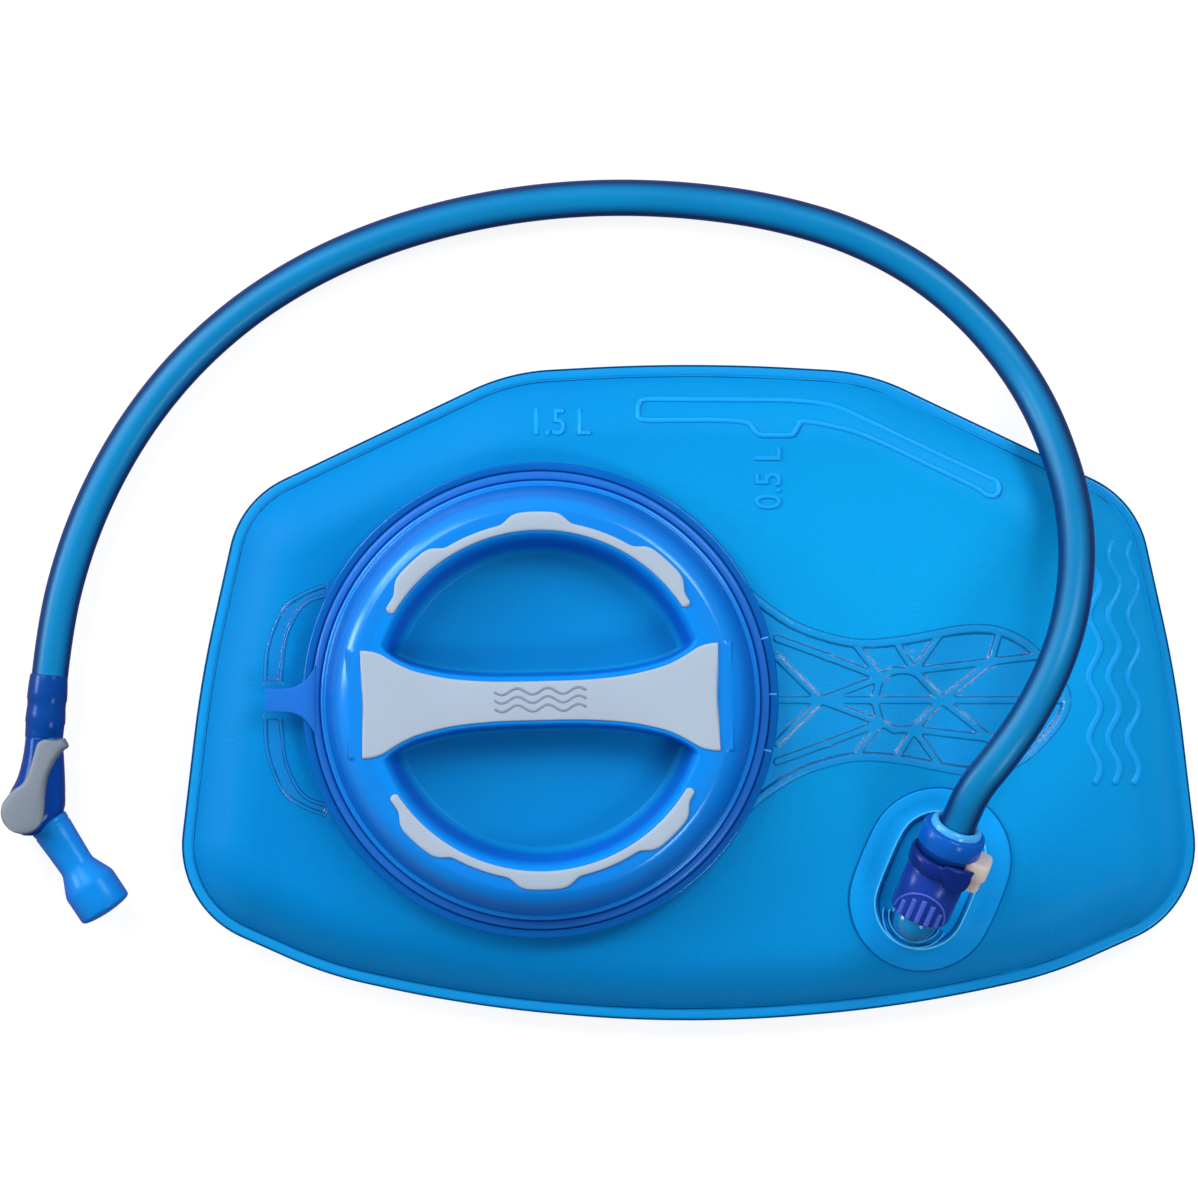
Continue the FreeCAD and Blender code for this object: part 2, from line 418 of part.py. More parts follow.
# ---- exit port: a clear elbow on a welded flange -----------------------------------------------
plate = stadium(PORT_W, PORT_L, 0, TOP_Z + CUT)
well_hole = stadium(WELL_W - 2 * WELL_WALL, WELL_L - 2 * WELL_WALL, -CUT, TOP_Z + 2 * CUT)
well = stadium(WELL_W, WELL_L, 0, TOP_Z + CUT).cut(well_hole)
skin = crown(FRONT_CROWN, 0)
flange = crown(FRONT_CROWN, PORT_T).cut(skin).common(placed(plate, port_plan))
rim = crown(FRONT_CROWN, WELL_H).cut(skin).common(placed(well, port_plan))
elbow = along_z(ELBOW_R, ELBOW_AT, ELBOW_FRONT).multiFuse(
    [Part.makeSphere(ELBOW_R, Vector(0, 0, ELBOW_AT)), along_z(SOCKET_R, ELBOW_FRONT - 1, SOCKET_END)])
boss = Part.makeCylinder(BOSS_R, down_from.z - BOSS_LOW, Vector(down_from.x, down_from.y, BOSS_LOW))
boss = boss.cut(skin)
spout = Part.makeCylinder(SPOUT_R, SPOUT_LONG, Vector(down_from.x, down_from.y, SPOUT_LOW))
passage = placed(along_z(SOCKET_BORE, SOCKET_BACK, SEAT_LOW).multiFuse(
    [along_z(SEAT_BORE, SEAT_LOW - 1, SEAT_HIGH + 1), along_z(SOCKET_BORE, SEAT_HIGH, SOCKET_END + CUT)]),
    link_axis)
drain = Part.makeCylinder(DRAIN_R, down_from.z - DRAIN_LOW, Vector(down_from.x, down_from.y, DRAIN_LOW))
exit_port = flange.multiFuse([rim, placed(elbow, link_axis), boss, spout])
exit_port = exit_port.cut(passage).cut(drain).removeSplitter()

poppet = along_z(POPPET_R, POPPET_MID, POPPET_HIGH).fuse(along_z(POPPET_STEM, POPPET_LOW, POPPET_MID))
poppet_seal = torus(*POPPET_SEAL)
poppet_spring = coil(COIL_R, COIL_WIRE, COIL_LOW, COIL_HIGH, COIL_TURNS)

# ---- quick connector ---------------------------------------------------------------------------
pocket = Part.makeBox(2 * BUTTON_OUT, 2 * (BUTTON_HALF + BUTTON_GAP), BUTTON_HIGH - BUTTON_LOW + CUT,
                      Vector(-BUTTON_IN + BUTTON_TRAVEL + BUTTON_GAP - 2 * BUTTON_OUT,
                             -BUTTON_HALF - BUTTON_GAP, BUTTON_LOW - BUTTON_GAP))
ridges = [Part.makeBox(RIDGE_W, RIDGE_T, RIDGE_LONG - RIDGE_SHORTER * abs(i),
                       Vector(RIDGE_APART * i - RIDGE_W / 2, LINK_R - RIDGE_SUNK, RIDGE_LOW))
          for i in (-1, 0, 1)]
link_body = along_z(LINK_R, LINK_LOW, LINK_LEN).cut(along_z(LINK_BORE, LINK_LOW - CUT, LINK_DEEP))
link_body = link_body.multiFuse(ridges).cut(along_z(LINK_WAY, LINK_DEEP - 1, LINK_LEN + 1)).cut(pocket)

tab_disc = Part.makeCylinder(PLATE_DISC, PLATE_T, Vector(PLATE_SIDE, PLATE_UP, PLATE_LOW), Vector(0, 1, 0))
ring = along_z(PLATE_R, PLATE_LOW, PLATE_HIGH, LINK_R)
bridge_bar = Part.makeBox(-PLATE_SIDE, PLATE_T, PLATE_HIGH - PLATE_LOW,
                          Vector(PLATE_SIDE, PLATE_UP, PLATE_LOW))
latch_plate = ring.multiFuse([tab_disc, bridge_bar]).cut(pocket)
latch_plate = latch_plate.cut(along_z(LINK_R, PLATE_LOW - CUT, PLATE_HIGH + CUT)).removeSplitter()

neck_block = along_z(LINK_R - 0.6, LINK_LEN, COLLAR_LOW, LINK_WAY).cut(pocket)
saddle = along_z(COLLAR_R, COLLAR_LOW, COLLAR_HIGH).fuse(along_z(LIP_R, COLLAR_HIGH, LIP_HIGH))
link_collar = saddle.fuse(neck_block).cut(along_z(TUBE_R, COLLAR_LOW + TUBE_STOP, LIP_HIGH + CUT))
link_collar = link_collar.cut(along_z(LINK_WAY, COLLAR_LOW - 1, COLLAR_HIGH)).removeSplitter()

probe = along_z(PROBE_TIP, PROBE_LOW, SEAT_HIGH + 0.6).multiFuse(
    [along_z(LINK_WAY, SEAT_HIGH + 0.5, COLLAR_LOW + TUBE_STOP),
     along_z(TUBE_BORE - BARB_GAP, COLLAR_LOW + TUBE_STOP, LIP_HIGH - 0.6)])
link_probe = probe.cut(along_z(PROBE_BORE, PROBE_LOW - CUT, LIP_HIGH + CUT))
link_probe = link_probe.cut(along_z(LINK_R, *PROBE_GROOVE)).removeSplitter()
probe_oring = torus(*PROBE_SEAL)

button = Part.makeBox(BUTTON_OUT - BUTTON_IN, 2 * BUTTON_HALF, BUTTON_HIGH - BUTTON_LOW,
                      Vector(-BUTTON_OUT, -BUTTON_HALF, BUTTON_LOW))
outer_edges = [edge for edge in button.Edges if abs(edge.CenterOfMass.x + BUTTON_OUT) < 0.01
               and abs(edge.tangentAt(edge.FirstParameter).z) < 0.5]
release_button = button.makeFillet(BUTTON_ROUND, outer_edges)
spring_at = Vector(-BUTTON_IN - BUTTON_SOCKET_DEEP, 0, BUTTON_COIL_AT)
spring_hole = Part.makeCylinder(BUTTON_SOCKET, BUTTON_SOCKET_DEEP + 1, spring_at, Vector(1, 0, 0))
release_button = release_button.cut(spring_hole)
button_spring = coil(BUTTON_COIL, BUTTON_WIRE, 0, BUTTON_COIL_LONG, BUTTON_COIL_TURNS)
button_spring.Placement = Placement(spring_at + Vector(BARB_GAP, 0, 0), Rotation(Vector(0, 1, 0), 90))


# ---- drink tube --------------------------------------------------------------------------------
def tube_path(points):
    """Straight runs joined by tangent arcs, each as large as its two runs allow."""
    corners = [Vector(*point) for point in points]
    edges, at = [], corners[0]
    for before, corner, after in zip(corners, corners[1:], corners[2:]):
        way_in, way_out = (corner - before).normalize(), (after - corner).normalize()
        half = way_in.getAngle(way_out) / 2
        reach = ARC_SHARE * min((corner - before).Length, (after - corner).Length)
        radius = reach / math.tan(half)
        start, end = corner - way_in * reach, corner + way_out * reach
        bisector = (way_out - way_in).normalize()
        middle = corner + bisector * (radius / math.cos(half) - radius)
        edges += [Part.makeLine(at, start), Part.Arc(start, middle, end).toShape()]
        at = end
        print("tube radius %.0f mm" % radius)
    edges.append(Part.makeLine(at, corners[-1]))
    return Part.Wire(edges)


seat = LINK_AT + link_way * (COLLAR_LOW + TUBE_STOP)
lip = LINK_AT + link_way * LIP_HIGH
path = tube_path([tuple(lip), tuple(lip + link_way * FIRST_RUN)] + ROUTE)
profile = [Part.Wire(Part.makeCircle(radius, lip, link_way)) for radius in (TUBE_R, TUBE_BORE)]
solids = [path.makePipeShell([wire], True, False) for wire in profile]
inlet = [Part.makeCylinder(radius, (lip - seat).Length, seat, link_way) for radius in (TUBE_R, TUBE_BORE)]
hose = solids[0].fuse(inlet[0]).cut(solids[1].fuse(inlet[1])).removeSplitter()
section = math.pi * (TUBE_R ** 2 - TUBE_BORE ** 2)
print("tube length %.1f mm" % path.Length)
print("tube volume %.0f of %.0f mm3" % (hose.Volume, section * (path.Length + (lip - seat).Length)))

# ---- shut-off valve and bite valve -------------------------------------------------------------
tube_end = Vector(*ROUTE[-1])
valve_way = (VALVE_BEND - tube_end).normalize()
reach = (VALVE_BEND - tube_end).Length
cone = Part.makeCone(CONE_SMALL, CONE_BIG, reach - CONE_SHORT, tube_end, valve_way)
chamber = Part.makeCylinder(CHAMBER_R, 2 * (VALVE_Z - CHAMBER.z), CHAMBER)
# the chamber is trimmed flat where the bite valve's end meets it
bite_room = Part.makeBox(4 * CHAMBER_R, 4 * CHAMBER_R, 4 * CHAMBER_R,
                         Vector(0, -2 * CHAMBER_R, -2 * CHAMBER_R))
bite_room.Placement = Placement(VALVE_BEND + BITE_WAY * BITE_START, Rotation(Vector(1, 0, 0), BITE_WAY))
barb = Part.makeCylinder(TUBE_BORE - BARB_GAP, BARB + CONE_SHORT, tube_end - valve_way * BARB, valve_way)
outlet = Part.makeCylinder(OUTLET_R, BITE_START, VALVE_BEND, BITE_WAY)
spigot = Part.makeCylinder(SPIGOT_R, BITE_START + SPIGOT_LONG, VALVE_BEND, BITE_WAY)
spool_room = Part.makeCylinder(SPOOL_R + SPOOL_GAP, 4 * VALVE_Z, HUB + Vector(0, 0, SPOOL_LOW))
inflow = Part.makeCylinder(INFLOW_R, reach + BARB + 1, tube_end - valve_way * (BARB + 1), valve_way)
outflow = Part.makeCylinder(OUTFLOW_R, BITE_START + OUTFLOW_LONG, VALVE_BEND - BITE_WAY * OUTFLOW_BACK,
                            BITE_WAY)
shutoff_body = chamber.cut(bite_room).fuse(cone)
for piece in (outlet, spigot, barb):
    shutoff_body = shutoff_body.fuse(piece)
for space in (spool_room, inflow, outflow):
    shutoff_body = shutoff_body.cut(space)
shutoff_body = shutoff_body.removeSplitter()

spool_foot = SPOOL_LOW + SPOOL_GAP
spool_stem = Part.makeCylinder(SPOOL_R, LEVER_LOW - spool_foot, HUB + Vector(0, 0, spool_foot))
shutoff_spool = spool_stem.cut(inflow)
for height in GROOVES:
    ring_groove = along_z(SPOOL_R + 1, height, height + GROOVE_WIDE, SPOOL_R - GROOVE_DEEP)
    ring_groove.translate(HUB)
    shutoff_spool = shutoff_spool.cut(ring_groove)
spool_orings = Part.makeCompound(
    [Part.makeTorus(SPOOL_RING_AT, SPOOL_RING, HUB + Vector(0, 0, height + GROOVE_WIDE / 2))
     for height in GROOVES])

arm_way = (LEVER_TIP - HUB).normalize()
arm_side = Vector(arm_way.y, -arm_way.x, 0)
arm_points = [HUB + arm_way * run + arm_side * off for run, off in ARM]
arm = prism([(p.x, p.y) for p in arm_points], LEVER_LOW, LEVER_HIGH)
flank_points = [HUB + arm_way * run + arm_side * off for run, off in FLANK]
flank = strip([(p.x, p.y) for p in flank_points], FLANK_WIDE, FLANK_LOW, FLANK_HIGH)
disc = Part.makeCylinder(HUB_R, LEVER_HIGH - LEVER_LOW, HUB + Vector(0, 0, LEVER_LOW))
lever = disc.multiFuse([arm] + flank).cut(cone).removeSplitter()

bite_axis = Placement(VALVE_BEND + BITE_WAY * (BITE_START + BITE_GAP), Rotation(Vector(0, 0, 1), BITE_WAY))
slit = Part.makeBox(SLIT_LONG, SLIT_WIDE, SLIT_DEEP, Vector(-SLIT_LONG / 2, -SLIT_WIDE / 2, SLIT_LOW))
bite_valve = placed(turned(BITE).cut(slit), bite_axis)


# ---- the parts, one file each ------------------------------------------------------------------
NODES = {
    "back_film": back_film, "front_film": front_film, "fill_collar": fill_collar,
    "collar_band": collar_band, "exit_port": exit_port,
    "cap_shell": placed(cap_shell, cap_axis), "cap_thread_ring": placed(cap_thread_ring, cap_axis),
    "cap_grip_bar": placed(cap_grip_bar, cap_axis), "cap_grip_arc_upper": placed(arcs["upper"], cap_axis),
    "cap_grip_arc_lower": placed(arcs["lower"], cap_axis), "cap_seal": placed(cap_seal, cap_axis),
    "poppet": placed(poppet, link_axis), "poppet_seal": placed(poppet_seal, link_axis),
    "poppet_spring": placed(poppet_spring, link_axis), "link_body": placed(link_body, link_axis),
    "link_collar": placed(link_collar, link_axis), "link_probe": placed(link_probe, link_axis),
    "probe_oring": placed(probe_oring, link_axis), "latch_plate": placed(latch_plate, link_axis),
    "release_button": placed(release_button, link_axis),
    "button_spring": placed(button_spring, link_axis), "drink_tube": hose,
    "shutoff_body": shutoff_body, "shutoff_spool": shutoff_spool, "spool_orings": spool_orings,
    "shutoff_lever": lever, "bite_valve": bite_valve}

os.makedirs("parts", exist_ok=True)
for name, shape in NODES.items():
    box = shape.BoundBox
    print("%-20s valid %s solids %d  x %.1f %.1f  y %.1f %.1f  z %.1f %.1f" % (
        name, shape.isValid(), len(shape.Solids), box.XMin, box.XMax, box.YMin, box.YMax, box.ZMin,
        box.ZMax))
    shape.exportStep("parts/%s.step" % name)
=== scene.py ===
"""A hydration bladder for a lumbar pack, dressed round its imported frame.  Metres, +Z up: the reservoir
lies on its back on the floor, its drink tube loops round it, and the camera looks straight down."""
import json
import math

import bpy
import numpy as np
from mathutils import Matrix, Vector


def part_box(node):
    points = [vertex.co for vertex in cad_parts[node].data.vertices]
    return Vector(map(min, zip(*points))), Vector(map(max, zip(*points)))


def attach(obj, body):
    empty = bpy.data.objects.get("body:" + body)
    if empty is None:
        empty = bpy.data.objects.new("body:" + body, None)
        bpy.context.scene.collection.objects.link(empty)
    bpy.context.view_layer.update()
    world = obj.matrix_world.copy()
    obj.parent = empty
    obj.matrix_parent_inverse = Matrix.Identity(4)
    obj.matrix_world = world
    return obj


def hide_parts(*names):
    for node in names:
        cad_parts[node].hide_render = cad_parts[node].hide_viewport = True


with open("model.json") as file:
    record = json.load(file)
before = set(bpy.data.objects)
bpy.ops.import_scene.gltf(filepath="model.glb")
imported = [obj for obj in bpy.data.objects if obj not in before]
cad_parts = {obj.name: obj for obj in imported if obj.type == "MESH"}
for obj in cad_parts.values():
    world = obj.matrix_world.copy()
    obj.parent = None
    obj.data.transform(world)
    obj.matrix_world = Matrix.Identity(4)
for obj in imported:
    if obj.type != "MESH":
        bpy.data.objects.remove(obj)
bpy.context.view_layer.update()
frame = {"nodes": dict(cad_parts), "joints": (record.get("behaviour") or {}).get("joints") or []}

# ---- Studio -------------------------------------------------------------------------------------
# A white floor under broad soft light, and a long lens straight above the object, level with the
# reservoir's long side.
MM = 0.001
CAMERA_AT = (-25.7 * MM, 26.9 * MM, 3.0)
VIEW_WIDTH = 342.3 * MM
SENSOR = 36.0


def paint(red, green, blue):
    """A display colour, 0 to 255, as the linear colour that a shader takes."""
    share = [v / 255 for v in (red, green, blue)]
    linear = [v / 12.92 if v <= 0.04045 else ((v + 0.055) / 1.055) ** 2.4 for v in share]
    return (*linear, 1.0)


camera = bpy.data.objects.new("camera", bpy.data.cameras.new("camera"))
camera.location = CAMERA_AT
camera.data.sensor_width = SENSOR
camera.data.lens = SENSOR * (CAMERA_AT[2] - 0.02) / VIEW_WIDTH
bpy.context.scene.collection.objects.link(camera)
bpy.context.scene.camera = camera
bpy.context.scene.view_settings.view_transform = "Standard"

# The room is bright on the upper left and dim on the lower right.
world = bpy.data.worlds.new("studio")
world.use_nodes = True
world_nodes = world.node_tree.nodes
room_way = world_nodes.new("ShaderNodeTexCoord")
room_side = world_nodes.new("ShaderNodeVectorMath")
room_side.operation = "DOT_PRODUCT"
room_side.inputs[1].default_value = (-0.6, 0.8, 0.0)
room_light = world_nodes.new("ShaderNodeMapRange")
room_light.inputs["From Min"].default_value = -0.7
room_light.inputs["From Max"].default_value = 0.9
room_light.inputs["To Min"].default_value = 0.05
room_light.inputs["To Max"].default_value = 0.42
world.node_tree.links.new(room_way.outputs["Generated"], room_side.inputs[0])
world.node_tree.links.new(room_side.outputs["Value"], room_light.inputs["Value"])
world.node_tree.links.new(room_light.outputs["Result"], world_nodes["Background"].inputs["Strength"])
world_nodes["Background"].inputs["Color"].default_value = (1, 1, 1, 1)
bpy.context.scene.world = world


def softbox(name, place, aim, size, power):
    """A square area light at place that faces aim."""
    light = bpy.data.lights.new(name, "AREA")
    light.energy = power
    light.size = size
    lamp = bpy.data.objects.new(name, light)
    lamp.location = place
    away = np.array(place) - np.array(aim)
    lamp.rotation_euler = (math.acos(away[2] / np.linalg.norm(away)), 0,
                           math.atan2(away[1], away[0]) + math.pi / 2)
    bpy.context.scene.collection.objects.link(lamp)


softbox("softbox_upper_left", (-0.75, 0.80, 1.0), (0, 0, 0), 0.7, 8.5)
softbox("softbox_upper_right", (0.75, 0.80, 1.15), (0, 0, 0), 0.6, 12.0)
softbox("softbox_left", (-1.20, 0.30, 0.46), (0, 0, 0.02), 0.4, 6.8)
softbox("softbox_far_left", (-0.95, 0.80, 0.50), (0, 0, 0.02), 0.36, 4.2)
softbox("softbox_lower_right", (0.70, -0.75, 1.1), (0, 0, 0), 0.4, 7.5)

floor_mesh = bpy.data.meshes.new("floor")
floor_mesh.from_pydata([(-3, -3, 0), (3, -3, 0), (3, 3, 0), (-3, 3, 0)], [], [(0, 1, 2, 3)])
floor = bpy.data.objects.new("floor", floor_mesh)
bpy.context.scene.collection.objects.link(floor)
floor_paint = bpy.data.materials.new("floor_white")
floor_paint.use_nodes = True
floor_shader = floor_paint.node_tree.nodes["Principled BSDF"]
floor_shader.inputs["Base Color"].default_value = (0.2, 0.2, 0.2, 1)
floor_shader.inputs["Emission Color"].default_value = (1, 1, 1, 1)
floor_shader.inputs["Emission Strength"].default_value = 0.84
floor_shader.inputs["Roughness"].default_value = 0.9
floor.data.materials.append(floor_paint)
floor.visible_glossy = False


# ---- Drink tube ---------------------------------------------------------------------------------
# A soft extruded tube, pushed over the connector's barb at one end and the shut-off valve's barb at
# the other.  It arches off the connector, comes down past the reservoir's edge and lies on the floor.
TUBE_WIDE = 10.5 * MM
TUBE_ROUTE = [(74.536, -40.635, 40.678), (76.152, -36.792, 42.623), (80.261, -27.017, 47.567),
              (87.6, -18.2, 50.2), (96.6, -5.6, 50.4), (104.6, 10.2, 47.0), (109.2, 26.6, 40.8),
              (110.6, 43.8, 32.4), (108.3, 61.6, 22.6), (100.1, 84.3, 11.0), (86.3, 104.1, 5.6),
              (68.4, 120.2, 5.3), (47.4, 131.4, 5.3),
              (25, 138, 5.3), (2.5, 141.3, 5.3), (-19.7, 142.4, 5.3), (-41.9, 141.2, 5.3),
              (-64.3, 137.6, 5.3), (-86.8, 131.3, 5.3), (-109.1, 121.7, 5.3), (-130.3, 108, 5.3),
              (-149.2, 89.9, 5.3), (-164.6, 67.9, 5.4), (-176.0, 42.8, 6.2), (-182.708, 15.211, 8.0),
              (-184.9, -12.6, 8.0)]
COLOUR_SHARE, COLOUR_FIRST, COLOUR_SECOND, COLOUR_OUT = 0, 6, 7, 2  # a colour mix node's sockets


def finish_node(material, kind, place, **values):
    """A shader node of that kind at a place on the graph, with its inputs set."""
    node = material.node_tree.nodes.new(kind)
    node.location = place
    for name, value in values.items():
        node.inputs[name.replace("_", " ")].default_value = value
    return node


def ranged(material, place, source, low, high, to_low=0.0, to_high=1.0, smooth=True):
    """A value carried from the span low to high onto the span to_low to to_high, and held at its ends,
    by a smooth step or by a straight line."""
    node = finish_node(material, "ShaderNodeMapRange", place, From_Min=low, From_Max=high, To_Min=to_low,
                       To_Max=to_high)
    node.interpolation_type = "SMOOTHSTEP" if smooth else "LINEAR"
    material.node_tree.links.new(source, node.inputs["Value"])
    return node.outputs["Result"]


def blended(material, place, share, first, second):
    """A colour that runs from first, where share is 0, to second, where share is 1."""
    node = finish_node(material, "ShaderNodeMix", place)
    node.data_type = "RGBA"
    for socket, value in ((COLOUR_SHARE, share), (COLOUR_FIRST, first), (COLOUR_SECOND, second)):
        if isinstance(value, tuple):
            node.inputs[socket].default_value = value
        else:
            material.node_tree.links.new(value, node.inputs[socket])
    return node.outputs[COLOUR_OUT]


def moulded(name, colour, deep, rough, grain=0.15, grain_size=0.0004, patch=0.03, gloss=0.25, clear=0.0,
            rim=0.0, rim_from=0.08, rim_to=0.75):
    """A moulded or extruded plastic.  Its colour drifts between colour and deep in patches, a fine
    grain bumps the surface, and towards grazing angles it takes the deep colour by the share rim: a
    painted shade on steep slopes and edges, which on the see-through pieces also stands for the
    deeper tint where more of the plastic is looked through.  gloss is how much light it mirrors, and
    clear is the share that passes straight through where it is looked at squarely."""
    material = bpy.data.materials.new(name)
    material.use_nodes = True
    links = material.node_tree.links
    shader = material.node_tree.nodes["Principled BSDF"]
    shader.inputs["Roughness"].default_value = rough
    shader.inputs["Specular IOR Level"].default_value = gloss
    shader.inputs["Specular Tint"].default_value = tuple(0.4 + 0.6 * c ** 0.5 for c in colour[:3]) + (1,)
    shader.inputs["IOR"].default_value = 1.47
    place = finish_node(material, "ShaderNodeTexCoord", (-1100, 0))
    drift = finish_node(material, "ShaderNodeTexNoise", (-850, 150), Scale=1 / patch, Detail=2.0)
    links.new(place.outputs["Object"], drift.inputs["Vector"])
    partly_deep = tuple(0.75 * c + 0.25 * d for c, d in zip(colour, deep))
    last = blended(material, (-600, 150), drift.outputs["Fac"], colour, partly_deep)
    slant = finish_node(material, "ShaderNodeLayerWeight", (-1100, 400), Blend=0.5).outputs["Facing"]
    # Painted shade: the deep colour taken on steep slopes and edges by the share rim.
    if rim:
        share = ranged(material, (-850, 400), slant, rim_from, rim_to, 0.0, rim)
        last = blended(material, (-350, 250), share, last, deep)
    links.new(last, shader.inputs["Base Color"])
    specks = finish_node(material, "ShaderNodeTexNoise", (-850, -200), Scale=1 / grain_size, Detail=3.0)
    links.new(place.outputs["Object"], specks.inputs["Vector"])
    bump = finish_node(material, "ShaderNodeBump", (-350, -200), Strength=grain, Distance=0.0002)
    links.new(specks.outputs["Fac"], bump.inputs["Height"])
    links.new(bump.outputs["Normal"], shader.inputs["Normal"])
    if clear:
        solid = ranged(material, (-350, 500), slant, 0.3, 0.72, 1 - clear, 0.92)
        links.new(solid, shader.inputs["Alpha"])
        mirror = finish_node(material, "ShaderNodeBsdfGlossy", (0, -350), Roughness=0.14)
        mirrored = ranged(material, (0, 500), slant, 0.15, 1.0, 0.015, 0.45, smooth=False)
        both = finish_node(material, "ShaderNodeMixShader", (450, 100))
        links.new(mirrored, both.inputs[0])
        links.new(shader.outputs[0], both.inputs[1])
        links.new(mirror.outputs[0], both.inputs[2])
        links.new(both.outputs[0], material.node_tree.nodes["Material Output"].inputs["Surface"])
    return material


tube_line = bpy.data.curves.new("drink_tube", "CURVE")
tube_line.dimensions = "3D"
tube_spline = tube_line.splines.new("NURBS")
tube_spline.points.add(len(TUBE_ROUTE) - 1)
for point, (x, y, z) in zip(tube_spline.points, TUBE_ROUTE):
    point.co = (x * MM, y * MM, z * MM, 1)
tube_spline.order_u = 3
tube_spline.use_endpoint_u = True
tube_spline.resolution_u = 12
tube_line.bevel_depth = TUBE_WIDE / 2
tube_line.bevel_resolution = 9
tube_line.use_fill_caps = True
tube = bpy.data.objects.new("tube_skin", tube_line)
bpy.context.scene.collection.objects.link(tube)
# Its sides take the deep blue: partly the deeper tint where more of the tube is looked through, partly
# painted shade.
tube_line.materials.append(moulded(
    "tube_blue", paint(6, 126, 184), paint(2, 34, 92), 0.34, grain=0.04, gloss=0.35, rim=0.97,
    rim_from=0.02, rim_to=0.5))
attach(tube, "hose")
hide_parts("drink_tube")


# ---- Reservoir films ----------------------------------------------------------------------------
# Two sheets of blue film, cut to one outline and welded to each other round the edge.  The part-filled
# reservoir stands about 18 mm high, with its top flat under the fill collar.
EDGE = [(0, -95.4, 390), (62, -90.2, 390), (104, -81, 120), (147.7, -61.5, 29), (140, 4, 340),
        (128.6, 55.4, 28), (51.5, 92.1, 60), (0, 94.9, 530)]
WELD_WIDE, SEAM_HIGH, TOP_HIGH, CROWN_WIDE = 3.4, 6.6, 18.0, 22.0
WELD_HALF, CROWN_POWER = 0.6, 2.2  # half the weld's thickness, and how round the crown is
FILM_THICK, RIPPLE = 0.5, 0.16
FREE_OF_WELD, FREE_OF_NECK, FREE_WIDE = 5.0, 70.0, 14.0  # where the ripples start, and how fast they grow
FILM_HOLE = 58.0
FAR_OUT = 260.0  # farther from the neck than any of the outline
ring_low, ring_high = (np.array(c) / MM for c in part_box("cap_thread_ring"))
NECK = (ring_low + ring_high)[:2] / 2
corners = np.array(EDGE + [(-x, y, r) for x, y, r in EDGE[-2:0:-1]], float)
ways = np.roll(corners[:, :2], -1, 0) - corners[:, :2]
ways /= np.linalg.norm(ways, axis=1)[:, None]
inwards = np.stack([-ways[:, 1], ways[:, 0]], 1)
# The first blue is the film's lit middle and the second its painted shade round the edge.
front_blue = paint(8, 155, 222)
edge_shade_blue = paint(3, 124, 196)


def inset(x, y):
    """How far a plan point lies inside the outline: the least distance to the straight sides, or to
    the arc where the point is in the wedge of a rounded corner."""
    p = np.stack([x, y], -1)
    least = np.min([(p - c) @ n for c, n in zip(corners[:, :2], inwards)], axis=0)
    for i in range(len(corners)):
        normals = inwards[i - 1] + inwards[i]
        centre = corners[i, :2] + normals * corners[i, 2] / (1 + inwards[i - 1] @ inwards[i])
        q = p - centre
        wedge = (q @ ways[i - 1] > 0) & (q @ ways[i] < 0)
        least = np.where(wedge, np.minimum(least, corners[i, 2] - np.linalg.norm(q, axis=-1)), least)
    return least


def halving(holds, near, far, steps=36):
    """The last place between near and far where the test still holds, by halving the span."""
    for _ in range(steps):
        middle = (near + far) / 2
        inside = holds(middle)
        near, far = np.where(inside, middle, near), np.where(inside, far, middle)
    return near


def from_neck(reach, angle):
    """Plan points at a distance and an angle from the neck's axis."""
    return NECK[0] + reach * np.cos(angle), NECK[1] + reach * np.sin(angle)


def edge_reach(angle, deep):
    """The distance from the neck's axis, along each angle, to the line that lies deep inside the
    outline."""
    return halving(lambda reach: inset(*from_neck(reach, angle)) > deep, np.zeros_like(angle),
                   np.full_like(angle, FAR_OUT))


def crown(x, y):
    """How far the film has risen from the weld, 0, to its flat, 1: one less the rest of the way in to
    a power."""
    share = np.clip((inset(x, y) - WELD_WIDE) / (CROWN_WIDE - WELD_WIDE), 0, 1)
    return 1 - (1 - share) ** CROWN_POWER


def front_height(x, y):
    """The front film's top: the weld's top plus the crown's share of the rise to the flat, less faint
    slack ripples, which are products of sines that fade out near the collar and the weld."""
    weld_top = SEAM_HIGH + WELD_HALF
    off_weld = np.clip((inset(x, y) - FREE_OF_WELD) / FREE_WIDE, 0, 1)
    off_collar = np.clip((np.hypot(x - NECK[0], y - NECK[1]) - FREE_OF_NECK) / FREE_WIDE, 0, 1)
    slack = np.sin(x / 11 + 1.3 * np.sin(y / 19)) * np.sin(y / 13 - x / 37) + 0.5 * np.sin(x / 6.5 - y / 8)
    return weld_top + (TOP_HIGH - weld_top) * crown(x, y) - RIPPLE * off_weld * off_collar * (1.0 + slack)


def back_height(x, y):
    """The back film's underside: the weld's underside, lowered to the floor by the crown's share."""
    return (SEAM_HIGH - WELD_HALF) * (1 - crown(x, y))


